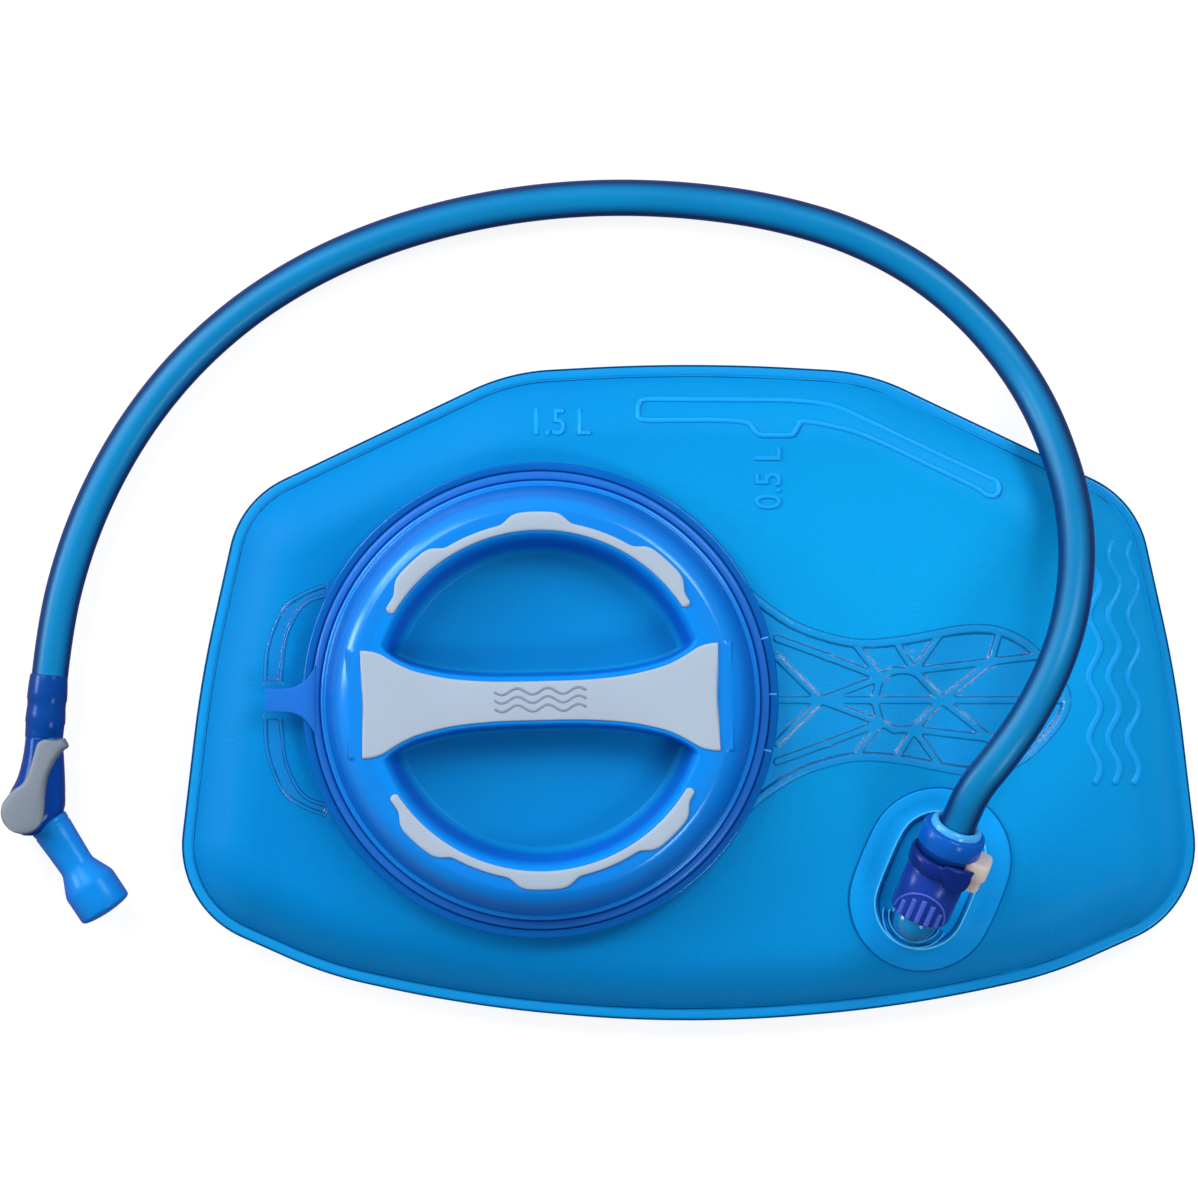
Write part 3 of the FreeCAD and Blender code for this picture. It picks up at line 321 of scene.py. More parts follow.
def lattice(rows, around=True, along=False, ends=(False, False)):
    """Points and faces through rows of points in millimetres.  around joins each row's end to its
    start, along joins the last row to the first, and ends close the first and last row with a fan.
    The faces are turned so that the volume they hold is positive."""
    rows = np.asarray(rows, float)
    count, width = rows.shape[:2]
    points = rows.reshape(-1, 3)
    i = np.arange(count if along else count - 1)[:, None]
    j = np.arange(width if around else width - 1)[None, :]
    after_i, after_j = (i + 1) % count, (j + 1) % width
    quads = np.stack([i * width + j, i * width + after_j, after_i * width + after_j, after_i * width + j],
                     -1).reshape(-1, 4)
    fans = np.zeros((0, 3), int)
    for last, closed in enumerate(ends):
        if closed:
            row = (count - 1 if last else 0) * width + np.arange(width)
            pair = (row, np.roll(row, -1)) if last else (np.roll(row, -1), row)
            fans = np.vstack([fans, np.stack([*pair, np.full(width, len(points))], -1)])
            points = np.vstack([points, points[row].mean(0)])
    triangles = np.vstack([quads[:, :3], quads[:, [0, 2, 3]], fans])
    a, b, c = (points[triangles[:, k]] for k in range(3))
    if np.einsum("ij,ij->i", a - points[0], np.cross(b - points[0], c - points[0])).sum() < 0:
        quads, fans = quads[:, ::-1], fans[:, ::-1]
    return points, quads.tolist() + fans.tolist()


def fit(name, parts, material, body, stands_for=(), sharp=None):
    """One object from a list of lattices.  It rides on a body, and may stand for CAD
    nodes.  sharp is the angle in degrees past which an edge stays crisp."""
    points, faces, start = [], [], 0
    for part_points, part_faces in parts:
        points.append(part_points)
        faces += [[start + v for v in face] for face in part_faces]
        start += len(part_points)
    mesh = bpy.data.meshes.new(name)
    mesh.from_pydata((np.vstack(points) * MM).tolist(), [], faces)
    mesh.polygons.foreach_set("use_smooth", np.ones(len(faces), bool))
    if sharp:
        mesh.set_sharp_from_angle(angle=math.radians(sharp))
    mesh.materials.append(material)
    obj = bpy.data.objects.new(name, mesh)
    bpy.context.scene.collection.objects.link(obj)
    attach(obj, body)
    if stands_for:
        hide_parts(*stands_for)
    return obj


def film_skin(name, centre, edge):
    """The film's blue with painted light and shade: paler towards the middle of the reservoir, as if
    lit there, and deeper round the edge, as if in shade, with a fine satin grain."""
    material = moulded(name, centre, edge, 0.42, grain=0.7, grain_size=0.0006, patch=0.05, gloss=0.1)
    links = material.node_tree.links
    base = material.node_tree.nodes["Principled BSDF"].inputs["Base Color"]
    place = finish_node(material, "ShaderNodeTexCoord", (-1500, 500))
    shift = finish_node(material, "ShaderNodeMapping", (-1300, 500), Location=(-0.35, -0.16, 0),
                        Scale=(7.0, 9.6, 0))
    links.new(place.outputs["Object"], shift.inputs["Vector"])
    far = finish_node(material, "ShaderNodeVectorMath", (-1100, 500))
    far.operation = "LENGTH"
    links.new(shift.outputs["Vector"], far.inputs[0])
    painted_shade_share = ranged(material, (-900, 600), far.outputs["Value"], 0.1, 1.25)
    links.new(blended(material, (-350, 500), painted_shade_share, base.links[0].from_socket, edge), base)
    return material


def full_turn(count):
    """Evenly spaced angles once round, without the last one that would repeat the first."""
    return np.linspace(0, 2 * math.pi, count, endpoint=False)


round_film = full_turn(720)
film_edge = edge_reach(round_film, 0.0)
across_film = np.linspace(0, 1, 58)[:, None] ** 1.5


def film_rows(inner, height, thick, shares):
    """Rows of one face of a film, from the outline in to the inner radius about the neck."""
    x, y = from_neck(film_edge + (inner - film_edge) * shares, round_film)
    return np.stack([x, y, height(x, y) + thick], -1)


front_rows = np.vstack([film_rows(FILM_HOLE, front_height, 0, across_film),
                        film_rows(FILM_HOLE, front_height, -FILM_THICK, across_film[::-3])])
front_film = fit("front_film_skin", [lattice(front_rows, along=True)],
                 film_skin("film_front_blue", front_blue, edge_shade_blue), "reservoir", ["front_film"])
back_rows = np.vstack([film_rows(1.0, back_height, FILM_THICK, across_film[::-1]),
                       film_rows(1.0, back_height, 0, across_film[::2])])
back_film = fit("back_film_skin", [lattice(back_rows, ends=(True, True))],
                film_skin("film_back_blue", paint(10, 140, 222), edge_shade_blue), "reservoir",
                ["back_film"])


# ---- Edge weld ----------------------------------------------------------------------------------
# The two films are melted together along a narrow flange.  The flange is clearer than the film, with a
# dark squeezed-out bead along its outer edge and another where the weld meets the film.
def sweep(path, outline, closed=True, up=(0, 0, 1)):
    """An outline of (side, up) points carried along a path: each row is the path's point plus the
    outline turned square to the path."""
    path, outline = np.asarray(path, float), np.asarray(outline, float)
    ahead = np.roll(path, -1, 0) - np.roll(path, 1, 0) if closed else np.gradient(path, axis=0)
    ahead /= np.linalg.norm(ahead, axis=1)[:, None]
    side = np.cross(ahead, up)
    side /= np.linalg.norm(side, axis=1)[:, None]
    rise = np.cross(side, ahead)
    rows = path[:, None] + side[:, None] * outline[None, :, :1] + rise[:, None] * outline[None, :, 1:]
    return lattice(rows, along=closed, ends=(not closed, not closed))


def oval(width, height):
    """An oval outline of twelve points for a sweep."""
    turn = full_turn(12)
    return np.stack([width / 2 * np.cos(turn), height / 2 * np.sin(turn)], -1)


def edge_line(deep, lift):
    """A line on the reservoir's edge, deep inside the outline and lift above the seam."""
    turn = full_turn(900)
    x, y = from_neck(edge_reach(turn, deep), turn)
    return np.stack([x, y, np.full(turn.shape, SEAM_HIGH + lift)], -1)


weld_dark = moulded("weld_bead_blue", paint(3, 60, 112), paint(2, 40, 84), 0.25)
fit("edge_bead_outer", [sweep(edge_line(0.28, 0.15), oval(0.5, 1.5))], weld_dark, "reservoir")
fit("edge_bead_inner", [sweep(edge_line(WELD_WIDE + 0.1, 0.55), oval(0.42, 0.6))], weld_dark,
    "reservoir")
fit("edge_flange", [sweep(edge_line(WELD_WIDE / 2, 0.55), oval(WELD_WIDE - 0.9, 0.5))],
    moulded("weld_flange_blue", paint(20, 146, 216), paint(8, 110, 186), 0.22), "reservoir")


# ---- Raised marks on the front film -------------------------------------------------------------
# Embossed relief in the front film: an outline along the top edge, doubled by a painted shade line
# beside it, two plain volume marks, and a row of waves at the port end.
def smooth_line(points, count, closed=True):
    """A smooth line through points: the Catmull-Rom cubic between each pair, sampled evenly."""
    points = np.asarray(points, float)
    if closed:
        p = np.vstack([points[-1:], points, points[:2]])
    else:
        p = np.vstack([2 * points[:1] - points[1:2], points, 2 * points[-1:] - points[-2:-1]])
    spans = len(p) - 3
    at = np.linspace(0, spans, count, endpoint=not closed)
    k = np.minimum(at.astype(int), spans - 1)
    t = (at - k)[:, None]
    a, b, c, d = p[k], p[k + 1], p[k + 2], p[k + 3]
    return 0.5 * (2 * b + (c - a) * t + (2 * a - 5 * b + 4 * c - d) * t ** 2
                  + (3 * b - a - 3 * c + d) * t ** 3)


def on_film(line, lift=0.0):
    """Plan points laid on the front film."""
    return np.column_stack([line, front_height(line[:, 0], line[:, 1]) + lift])


RELIEF = [(-14.6, 80.4), (-14.2, 82.6), (-12.1, 83.9), (0, 83.9), (16, 83.8), (30.1, 83.6), (41.7, 82),
          (51.3, 77.8), (62, 72.7), (73.6, 67.2), (85.1, 61.9), (87.9, 60.6), (88.8, 58.6), (87.8, 56.6),
          (85.2, 56.6), (81.9, 58.8), (70, 64.5), (56.6, 70.9), (46, 75.1), (33.3, 77.6), (31.4, 76.4),
          (30.1, 74.3), (28.4, 73.7), (24, 73.7), (20.6, 73.8), (18.6, 75.2), (16.4, 77.3), (8, 78),
          (-4, 78), (-12.1, 78), (-14.2, 78.6)]
emboss = moulded("film_relief_blue", paint(22, 156, 232), paint(4, 112, 190), 0.3)
relief_line = smooth_line(RELIEF, 560)
fit("film_relief_outline", [sweep(on_film(relief_line, 0.1), oval(1.5, 0.9))], emboss, "reservoir")
# Painted shade: a darker line set just below the raised outline and to its lower right.
relief_shade_blue = moulded("film_relief_shade", paint(3, 106, 182), paint(2, 84, 150), 0.3)
fit("film_relief_shade", [sweep(on_film(relief_line + (0.45, -0.45), -0.12), oval(0.8, 0.6))], relief_shade_blue,
    "reservoir")


def wave(x, low, high, swing, length):
    """A vertical wavy line on the film."""
    y = np.linspace(low, high, 90)
    return np.stack([x + swing * np.sin((y - low) * 2 * math.pi / length), y], -1)


waves = [sweep(on_film(wave(x, -26, 44, 1.6, 17.5)), oval(1.8, 0.8), closed=False)
         for x in (116, 121.5, 127)]
fit("film_relief_waves", waves, emboss, "reservoir")
MARK_HIGH, MARK_NARROW = 10.5, 0.86


def volume_mark(name, words, place, turn):
    """Raised figures on the film, made a flat mesh, then narrowed, turned and set in place."""
    curve = bpy.data.curves.new(name, "FONT")
    curve.body = words
    curve.size = MARK_HIGH
    curve.extrude = 0.12
    curve.bevel_depth = 0.1
    curve.align_x = curve.align_y = "CENTER"
    text = bpy.data.objects.new(name + "_text", curve)
    bpy.context.scene.collection.objects.link(text)
    mesh = bpy.data.meshes.new_from_object(text.evaluated_get(bpy.context.evaluated_depsgraph_get()))
    bpy.data.objects.remove(text)
    co = np.zeros(len(mesh.vertices) * 3)
    mesh.vertices.foreach_get("co", co)
    co = co.reshape(-1, 3)
    x = place[0] + co[:, 0] * MARK_NARROW * math.cos(turn) - co[:, 1] * math.sin(turn)
    y = place[1] + co[:, 0] * MARK_NARROW * math.sin(turn) + co[:, 1] * math.cos(turn)
    placed = np.stack([x, y, front_height(x, y) + co[:, 2] + 0.2], -1) * MM
    mesh.vertices.foreach_set("co", placed.ravel())
    mesh.materials.append(emboss)
    obj = bpy.data.objects.new(name, mesh)
    bpy.context.scene.collection.objects.link(obj)
    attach(obj, "reservoir")


volume_mark("volume_mark_full", "1.5 L", (-37, 77.2), 0)
volume_mark("volume_mark_low", "0.5 L", (23.0, 61.5), math.pi / 2)


# ---- Fill collar --------------------------------------------------------------------------------
# One clear moulding welded into the front film: a flange, an upright wall, the threaded neck, the
# webbed grab handle and the small lug opposite it.
CLEAR_RIM = 23.8
CLEAR_LOW, CLEAR_WEB, CLEAR_RIB = 19.4, 20.4, 22.8
THREAD_AT, THREAD_LOW, THREAD_SPAN, THREAD_RISE = 53.9, 23.6, 45, 40.0  # radius, height, degrees, pitch
# On the ribs' steep flanks the clear blue turns deep: painted shade, partly the deeper tint seen through more
# plastic.
collar_clear = moulded("collar_clear_blue", paint(6, 126, 214), paint(1, 50, 120), 0.1, grain=0.0, clear=0.97,
                       rim=1.0, rim_from=0.1, rim_to=0.5)
collar_deep = moulded("collar_ring_blue", paint(4, 98, 184), paint(2, 60, 138), 0.12, grain=0.02,
                      gloss=0.5, rim=0.4)


def fillet(points, radius):
    """A closed outline with each corner rounded by a quadratic curve that starts radius before it."""
    points = np.asarray(points, float)
    before, after = np.roll(points, 1, 0) - points, np.roll(points, -1, 0) - points
    reach_1, reach_2 = (np.minimum(radius, np.linalg.norm(w, axis=1) * 0.45) for w in (before, after))
    start = points + before / np.linalg.norm(before, axis=1)[:, None] * reach_1[:, None]
    end = points + after / np.linalg.norm(after, axis=1)[:, None] * reach_2[:, None]
    t = np.linspace(0, 1, 5)[None, :, None]
    curve = (1 - t) ** 2 * start[:, None] + 2 * t * (1 - t) * points[:, None] + t ** 2 * end[:, None]
    return curve.reshape(-1, 2)


def turn_about(profile, centre, count=360, closed=True):
    """A profile of (radius, height) points turned about a vertical axis through centre."""
    turn = full_turn(count)
    profile = np.asarray(profile, float)
    radius, height = profile[:, :1], profile[:, 1:]
    rows = np.stack([centre[0] + radius * np.cos(turn), centre[1] + radius * np.sin(turn),
                     height + 0 * turn], -1)
    return lattice(rows, along=closed, ends=(not closed, not closed))


collar_profile = fillet([(50, 14), (53, 14), (53, 18.02), (68, 18.02), (68, 24), (65.5, 24), (65.5, 19.6),
                         (53, 19.6), (53, 31), (50, 31)], 0.7)
thread_outline = fillet([(-1.4, -1.1), (1.4, -1.1), (1.4, 1.1), (-1.4, 1.1)], 0.5)
thread_run = np.linspace(0, THREAD_SPAN, 24)
threads = []
for start in (10, 100, 190, 280):
    x, y = from_neck(THREAD_AT, np.radians(start + thread_run))
    path = np.stack([x, y, THREAD_LOW + THREAD_RISE * thread_run / 360], -1)
    threads.append(sweep(path, thread_outline, closed=False))
fit("fill_collar_ring", [turn_about(collar_profile, NECK)] + threads, collar_deep, "reservoir",
    ["fill_collar"])

# Three short radial slots on the clear ring, beside the handle.
slots = []
for angle in np.radians((15.5, 1.5, -12.5)):
    x, y = from_neck(np.linspace(63.9, 67.4, 6), angle)
    slots.append(sweep(np.stack([x, y, np.full(x.shape, 24.0)], -1), oval(0.5, 0.4), closed=False))
fit("fill_collar_slots", slots, moulded("collar_slot_blue", paint(96, 176, 236), paint(60, 150, 225), 0.2),
    "reservoir", ["fill_collar"])

# Grab handle: half its outline, then the ribs of its web, all measured from the neck's axis.
HANDLE_SIDE = [(46, 48), (52.5, 40.3), (60.7, 31.5), (71.3, 23.7), (80.9, 19.7), (91.3, 17.6),
               (102.7, 18.4), (112.4, 20.2), (121.5, 21.7), (130, 21.4), (138, 18.2), (144.5, 12.6),
               (149.4, 6.6), (151.3, 2.6), (151.7, 0)]
HANDLE_RIBS = [[(67.5, 17.6), (82, 12.3), (97.1, 6.5)], [(67.5, 12.3), (80, 0)],
               [(95.3, 0), (97.1, 6.5)], [(97.1, 6.5), (101, 8.4), (106.7, 8.4)], [(106.7, 8.4), (114.6, 0)],
               [(97.1, 6.5), (88.8, 17.4)], [(106.7, 8.4), (101, 17.4)], [(106.7, 8.4), (114.6, 19.4)],
               [(106.7, 8.4), (128.6, 11)], [(114.6, 0), (128.6, 11)], [(128.6, 11), (131.2, 20)],
               [(128.6, 11), (142.6, 12.6)], [(80, 0), (97.1, 6.5)]]
HANDLE_SPINE = [(67.5, 0), (80, 0), (95.3, 0), (114.6, 0), (150, 0)]
HANDLE_BOSS, BOSS_R, BOSS_HIGH = (107.6, 12.8), 1.7, 0.5  # the small ring raised in the handle's web
RIB_HALF, RIB_SOFT = 0.95, 0.8  # half a rib's width, and the width of its soft side
RIM_AT, RIM_HALF = 1.3, 1.6  # the rim's round edge: how far in from the side its top is, and its half width
COLLAR_MEETS = 66.4  # the radius at which the handle meets the collar's wall


def to_segments(p, rows, ease=0.3):
    """A soft least distance from points to straight ribs: the negative log of summed exponentials,
    which rounds the pockets where ribs meet."""
    total = np.zeros(p.shape[:-1])
    for row in rows:
        for a, b in zip(np.array(row, float), np.array(row, float)[1:]):
            t = np.clip(((p - a) @ (b - a)) / ((b - a) @ (b - a)), 0, 1)
            total += np.exp(-np.linalg.norm(p - a - t[..., None] * (b - a), axis=-1) / ease)
    return -ease * np.log(total + 1e-12)


def step_down(value, edge, soft):
    """1 below the edge and 0 above it, with a smooth step of width soft."""
    t = np.clip((edge + soft / 2 - value) / soft, 0, 1)
    return t * t * (3 - 2 * t)


side_line = smooth_line(HANDLE_SIDE, 400, closed=False)
order = np.argsort(side_line[:, 0])
tip = side_line[-1, 0]


def half_width(x):
    """Half the handle's width at a distance from the neck's axis."""
    return np.interp(x, side_line[order, 0], side_line[order, 1])


def in_collar(x):
    """Whether a place on each line across the handle is still inside the collar's wall."""
    return np.hypot(x, across * half_width(x)) < COLLAR_MEETS


# The grid runs closer together towards the handle's sides and its tip.
across = np.sin(np.linspace(-1, 1, 141) * math.pi / 2) * 0.35 + np.linspace(-1, 1, 141) * 0.65
root = halving(in_collar, np.full(across.shape, 40.0), np.full(across.shape, 70.0), 30)
run = np.linspace(0, 1, 330)[:, None]
run = run * (2 - run) * 0.35 + run * 0.65
handle_x = root + (tip - 0.02 - root) * run
handle_y = across * half_width(handle_x)
handle_plan = np.stack([handle_x, np.abs(handle_y)], -1)
rib_far = to_segments(handle_plan, HANDLE_RIBS + [HANDLE_SPINE])
rim_far = to_segments(handle_plan, [side_line[::8].tolist()], 0.15)
boss_far = np.hypot(handle_plan[..., 0] - HANDLE_BOSS[0], handle_plan[..., 1] - HANDLE_BOSS[1])
handle_top = CLEAR_WEB + (CLEAR_RIB - CLEAR_WEB) * step_down(rib_far, RIB_HALF, RIB_SOFT)
handle_top += BOSS_HIGH * step_down(np.abs(boss_far - BOSS_R), 0.3, 0.5)
rim_round = np.sqrt(np.clip(1 - ((rim_far - RIM_AT) / RIM_HALF) ** 2, 0, 1))
handle_top = np.maximum(handle_top, CLEAR_WEB + (CLEAR_RIM - CLEAR_WEB) * rim_round)
handle_top[:, [0, -1]] = CLEAR_WEB + 0.9


def plate(x, y, top, step):
    """A flat-bottomed clear plate: its top from the given heights, and its underside level."""
    upper = np.stack([x, y, top], -1)
    under = np.stack([x, y, np.full(x.shape, CLEAR_LOW)], -1)
    return lattice(np.concatenate([upper, under[:, ::-step]], 1), ends=(True, True))


handle = fit("grab_handle", [plate(NECK[0] + handle_x, NECK[1] + handle_y, handle_top, 7)],
             collar_clear, "reservoir", ["fill_collar"])
handle.visible_shadow = False

# Lug: on each side of the tab, a clear plate between an outer and an inner line, with raised edges.
LUG_OUTER = [(-79.4, 3.9), (-78.7, 14), (-76.3, 21.8), (-73.2, 27.4), (-67.4, 31.2), (-60.5, 33.8)]
LUG_INNER = [(-73.6, 4.6), (-73.2, 10), (-72.4, 16.6), (-69.8, 23.2), (-66.4, 27.4), (-60.2, 29.6)]
LUG_FROM, LUG_LONG = 66.2, 32.0  # the collar's wall, and the lug's length along its arc
LUG_RIM_AT, LUG_RIM_HALF, LUG_RIM_HIGH, LUG_END_HIGH = 0.65, 0.8, 2.6, 2.2  # its raised edges and ends


def lug_plate(side):
    """Half of the lug, on the side +1 or -1: rows along it, each from the inner to the outer line."""
    outer, inner = (smooth_line(line, 90, closed=False) for line in (LUG_OUTER, LUG_INNER))
    share = np.linspace(0, 1, 33)[None, :, None]
    flat = inner[:, None] * (1 - share) + outer[:, None] * share
    keep = np.hypot(flat[..., 0], flat[..., 1])
    flat = flat * (np.maximum(keep, LUG_FROM) / keep)[..., None]
    wide = np.linalg.norm(outer - inner, axis=1)[:, None]
    from_edge = np.minimum(share[..., 0], 1 - share[..., 0]) * wide
    rim_round = np.sqrt(np.clip(1 - ((from_edge - LUG_RIM_AT) / LUG_RIM_HALF) ** 2, 0, 1))
    ends = np.linspace(0, 1, 90)[:, None] * LUG_LONG
    end_step = step_down(np.minimum(ends, LUG_LONG - ends), 1.0, 0.8)
    top = CLEAR_WEB + np.maximum(LUG_RIM_HIGH * rim_round, LUG_END_HIGH * end_step)
    return plate(NECK[0] + flat[..., 0], NECK[1] + side * flat[..., 1], top, 4)


lug = fit("collar_lug", [lug_plate(1), lug_plate(-1)], collar_clear, "reservoir",
          ["fill_collar"])
lug.visible_shadow = False

# Collar band: a violet blue ring snapped inside the clear wall, with a tab that lies between the two
# halves of the lug.
band_blue = moulded("band_violet_blue", paint(34, 112, 206), paint(10, 62, 150), 0.2, gloss=0.3, rim=0.7)
band_profile = fillet([(62.75, 19.7), (65.4, 19.7), (65.4, 24.4), (64.8, 25), (63.2, 25.3),
                       (62.75, 24.6)], 0.5)
TAB_SIDE = [(-78.4, 3.4), (-76, 3.4), (-72, 3.5), (-70, 3.9), (-68.2, 4.8), (-66.6, 6.2), (-65.2, 8.2),
            (-64.2, 10.2)]


def strap(line, low, high, edge):
    """A bar along X with rounded long edges, from a line of (x, half width) points: each row is a
    rounded box, the sine and cosine of a full turn held at 1 along its flats."""
    turn = full_turn(72)
    flat = np.sign(np.cos(turn)) * np.minimum(np.abs(np.cos(turn)) * 1.35, 1)
    rise = np.sign(np.sin(turn)) * np.minimum(np.abs(np.sin(turn)) * 1.35, 1)
    x, half = line[:, :1], line[:, 1:]
    y = flat * (half - edge) + edge * np.cos(turn)
    z = (low + high) / 2 + rise * ((high - low) / 2 - edge) + edge * np.sin(turn)
    return np.stack([x + 0 * y, y, z + 0 * y], -1)


tab_rows = strap(smooth_line(TAB_SIDE, 60, closed=False), 24.0, 25.15, 0.5) + (*NECK, 0)
fit("collar_band_ring", [turn_about(band_profile, NECK), lattice(tab_rows, ends=(True, True))], band_blue,
    "reservoir", ["collar_band"])


# ---- Cap ----------------------------------------------------------------------------------------
# A blue moulded screw cap.  A wide rounded rim falls from the crest to the collar, and a bar across the
# middle leaves a finger well on each side.
CAP_TILT = math.radians(1.3)
CREST, WELL_FLOOR, WELL_TOP_R, WELL_FLOOR_R = 38.0, 24.6, 48.2, 41.8
WELL_SKIN_R, BEND = 50.6, 0.95  # where the wells' skin meets the dome, and where their corner starts
SIDE_FROM, SIDE_WIDE = 0.9, 1.9  # where the bar's side starts to fall, outside its edge, and how wide
BLOCK_LONG, BLOCK_HALF = 54.6, 15.2  # the square shoulders of the bar's two ends
SHOULDER_END, SHOULDER_SIDE, SHOULDER_FALL = 1.6, 2.2, 12.0
BAR_SIDE = [(0, 5.6), (13, 5.75), (25, 6.8), (34.5, 8.9), (39, 10.7), (42.5, 12.6), (45.5, 14.4),
            (48.5, 15.2), (51, 15.4), (58, 15.5)]
# The cap's blue turns deeper on the dome's steep slopes: painted shade.
cap_blue = moulded("cap_blue", paint(12, 132, 228), paint(4, 58, 158), 0.2, grain=0.03, gloss=0.7, rim=0.65,
                   rim_from=0.15, rim_to=0.7)


def to_cap(x, y, z):
    """Points in the cap's own plan, turned by the cap's tilt and moved to the neck's axis."""
    c, s = math.cos(CAP_TILT), math.sin(CAP_TILT)
    return np.stack([NECK[0] + x * c - y * s, NECK[1] + x * s + y * c, z], -1)


bar_line = smooth_line(BAR_SIDE, 200, closed=False)


def bar_half(x):
    """Half the bar's width at a distance along it from the cap's axis."""
    return np.interp(np.abs(x), bar_line[:, 0], bar_line[:, 1])


def well_depth(x, y):
    """How far the well is sunk, from 0 on the crest to 1 on its floor: the nearer of the ring wall
    and the bar's side, each over its own width, with the corner between them rounded."""
    wall = (WELL_TOP_R - np.hypot(x, y)) / (WELL_TOP_R - WELL_FLOOR_R)
    side = (np.abs(y) - bar_half(x) - SIDE_FROM) / SIDE_WIDE
    a, b = np.minimum(wall, BEND), np.minimum(side, BEND)
    corner = np.where((wall < BEND) & (side < BEND), BEND - np.hypot(BEND - a, BEND - b), 9)
    t = np.clip(np.minimum(np.minimum(wall, side), corner), 0, 1)
    return (t * t * (3 - 2 * t)) * 0.75 + 0.25 * np.sin(t * math.pi / 2) ** 2


# The wells' skin is a square grid drawn in to a disc, so that no pole lies in the middle of the bar.
u, v = np.meshgrid(np.linspace(-1, 1, 251), np.linspace(-1, 1, 251))
disc_x = u * np.sqrt(1 - v * v / 2) * WELL_SKIN_R
disc_y = v * np.sqrt(1 - u * u / 2) * WELL_SKIN_R
well_z = CREST - (CREST - WELL_FLOOR) * well_depth(disc_x, disc_y)
well_skin = lattice(to_cap(disc_x, disc_y, well_z), around=False)

DOME = [(50, 38), (53.6, 38), (55.2, 37.6), (57.2, 36.2), (59, 33.9), (60.4, 31.2), (61.2, 29.2),
        (61.5, 28.8), (62.0, 28.75), (62.5, 28.5), (62.7, 27.9)]
dome_fall = smooth_line(DOME, 400, closed=False)
dome_ring = np.concatenate([np.linspace(WELL_SKIN_R, 61.2, 54),
                            [61.4, 61.6, 61.8, 62.0, 62.2, 62.4, 62.55, 62.65, 62.7]])
dome_turn = full_turn(900)
rim_x, rim_y = dome_ring[:, None] * np.cos(dome_turn), dome_ring[:, None] * np.sin(dome_turn)
# The bar's ends stand square out of the dome: level with the crest, less a steep fall past the end and
# another past each side.
past_end = np.clip((np.abs(rim_x) - BLOCK_LONG) / SHOULDER_END, 0, 1)
past_side = np.clip((np.abs(rim_y) - BLOCK_HALF) / SHOULDER_SIDE, 0, 1)
block = CREST - 0.15 - SHOULDER_FALL * (past_end ** 1.3 + past_side ** 1.3)
rim_z = np.maximum(np.interp(dome_ring, dome_fall[:, 0], dome_fall[:, 1])[:, None], block)
dome_top = to_cap(rim_x, rim_y, rim_z)
DOME_INSIDE = [(62.72, 23.8), (62.6, 21.0), (62.2, 20.6), (58.6, 20.6), (58.1, 21.0), (58, 28.5),
               (55.0, 33.2), (51.4, 34.0), (43.4, 23.2), (43, 22.6), (20, 22.6), (0.5, 22.6)]
in_r, in_z = np.hsplit(np.array(DOME_INSIDE), 2)
dome_under = to_cap(in_r * np.cos(dome_turn), in_r * np.sin(dome_turn), in_z + 0 * dome_turn)
dome = lattice(np.concatenate([dome_top, dome_under]), ends=(False, True))
fit("cap_dome", [dome], cap_blue, "cap", ["cap_shell"])
well_blue = moulded("cap_well_blue", paint(10, 130, 196), paint(8, 84, 180), 0.3, grain=0.1, gloss=0.12)
well_links = well_blue.node_tree.links
well_base = well_blue.node_tree.nodes["Principled BSDF"].inputs["Base Color"]
height_at = finish_node(well_blue, "ShaderNodeTexCoord", (-1500, 700))
height_split = finish_node(well_blue, "ShaderNodeSeparateXYZ", (-1300, 700))
well_links.new(height_at.outputs["Object"], height_split.inputs[0])
# Painted shade: the wells' walls are a darker, deeper blue than their floor, and the crest takes the dome's
# own blue.
for row, low, high, blue in ((500, WELL_FLOOR + 0.4, WELL_FLOOR + 4.5, paint(8, 92, 190)),
                             (700, CREST - 5.5, CREST - 0.1, paint(12, 130, 226))):
    rise = ranged(well_blue, (-1100, row), height_split.outputs["Z"], low * MM, high * MM)
    well_links.new(blended(well_blue, (0, row), rise, well_base.links[0].from_socket, blue), well_base)
fit("cap_finger_wells", [well_skin], well_blue, "cap", ["cap_shell"])

# Soft grey grips: a bow-tie strip let into the bar, and a strip on the crest above and below it.
# The grips' grey turns darker on their steep edges: painted shade.
grip_grey = moulded("grip_soft_grey", paint(166, 182, 200), paint(112, 128, 156), 0.5, grain=0.12, rim=0.7,
                    grain_size=0.0003)
GRIP_END = 50.9
grip_x = np.concatenate([np.linspace(-GRIP_END, -47, 10), np.linspace(-46, 46, 93),
                         np.linspace(47, GRIP_END, 10)])
grip_rows = strap(np.stack([grip_x, bar_half(grip_x)], -1), CREST - 0.9, CREST + 0.6, 0.55)
grip_x, grip_y, grip_z = np.moveaxis(grip_rows, -1, 0)
hollow = 0.9 * (1 - (grip_y / bar_half(GRIP_END)) ** 2) * np.clip((np.abs(grip_x) - 40) / 10.9, 0, 1)
bar_grip = to_cap(grip_x - np.sign(grip_x) * hollow, grip_y, grip_z)
fit("cap_bar_grip", [lattice(bar_grip, ends=(True, True))], grip_grey, "cap", ["cap_grip_bar"])


def squared(wave, power):
    """A sine or cosine with its sign kept and its size raised to a power under 1, which squares up the
    round section that it draws."""
    return np.sign(wave) * np.abs(wave) ** power


STRIP_IN, STRIP_OUT, STRIP_FROM, STRIP_TO = 48.4, 51.1, 31.2, 148.8  # radii, then degrees round the cap
STRIP_END = 1.4  # the degrees taken by the round of each end
THUMB_AT, THUMB_OUT, THUMB_WIDE = (46.5, 90, 132), 2.7, 9.6  # degrees, millimetres, degrees


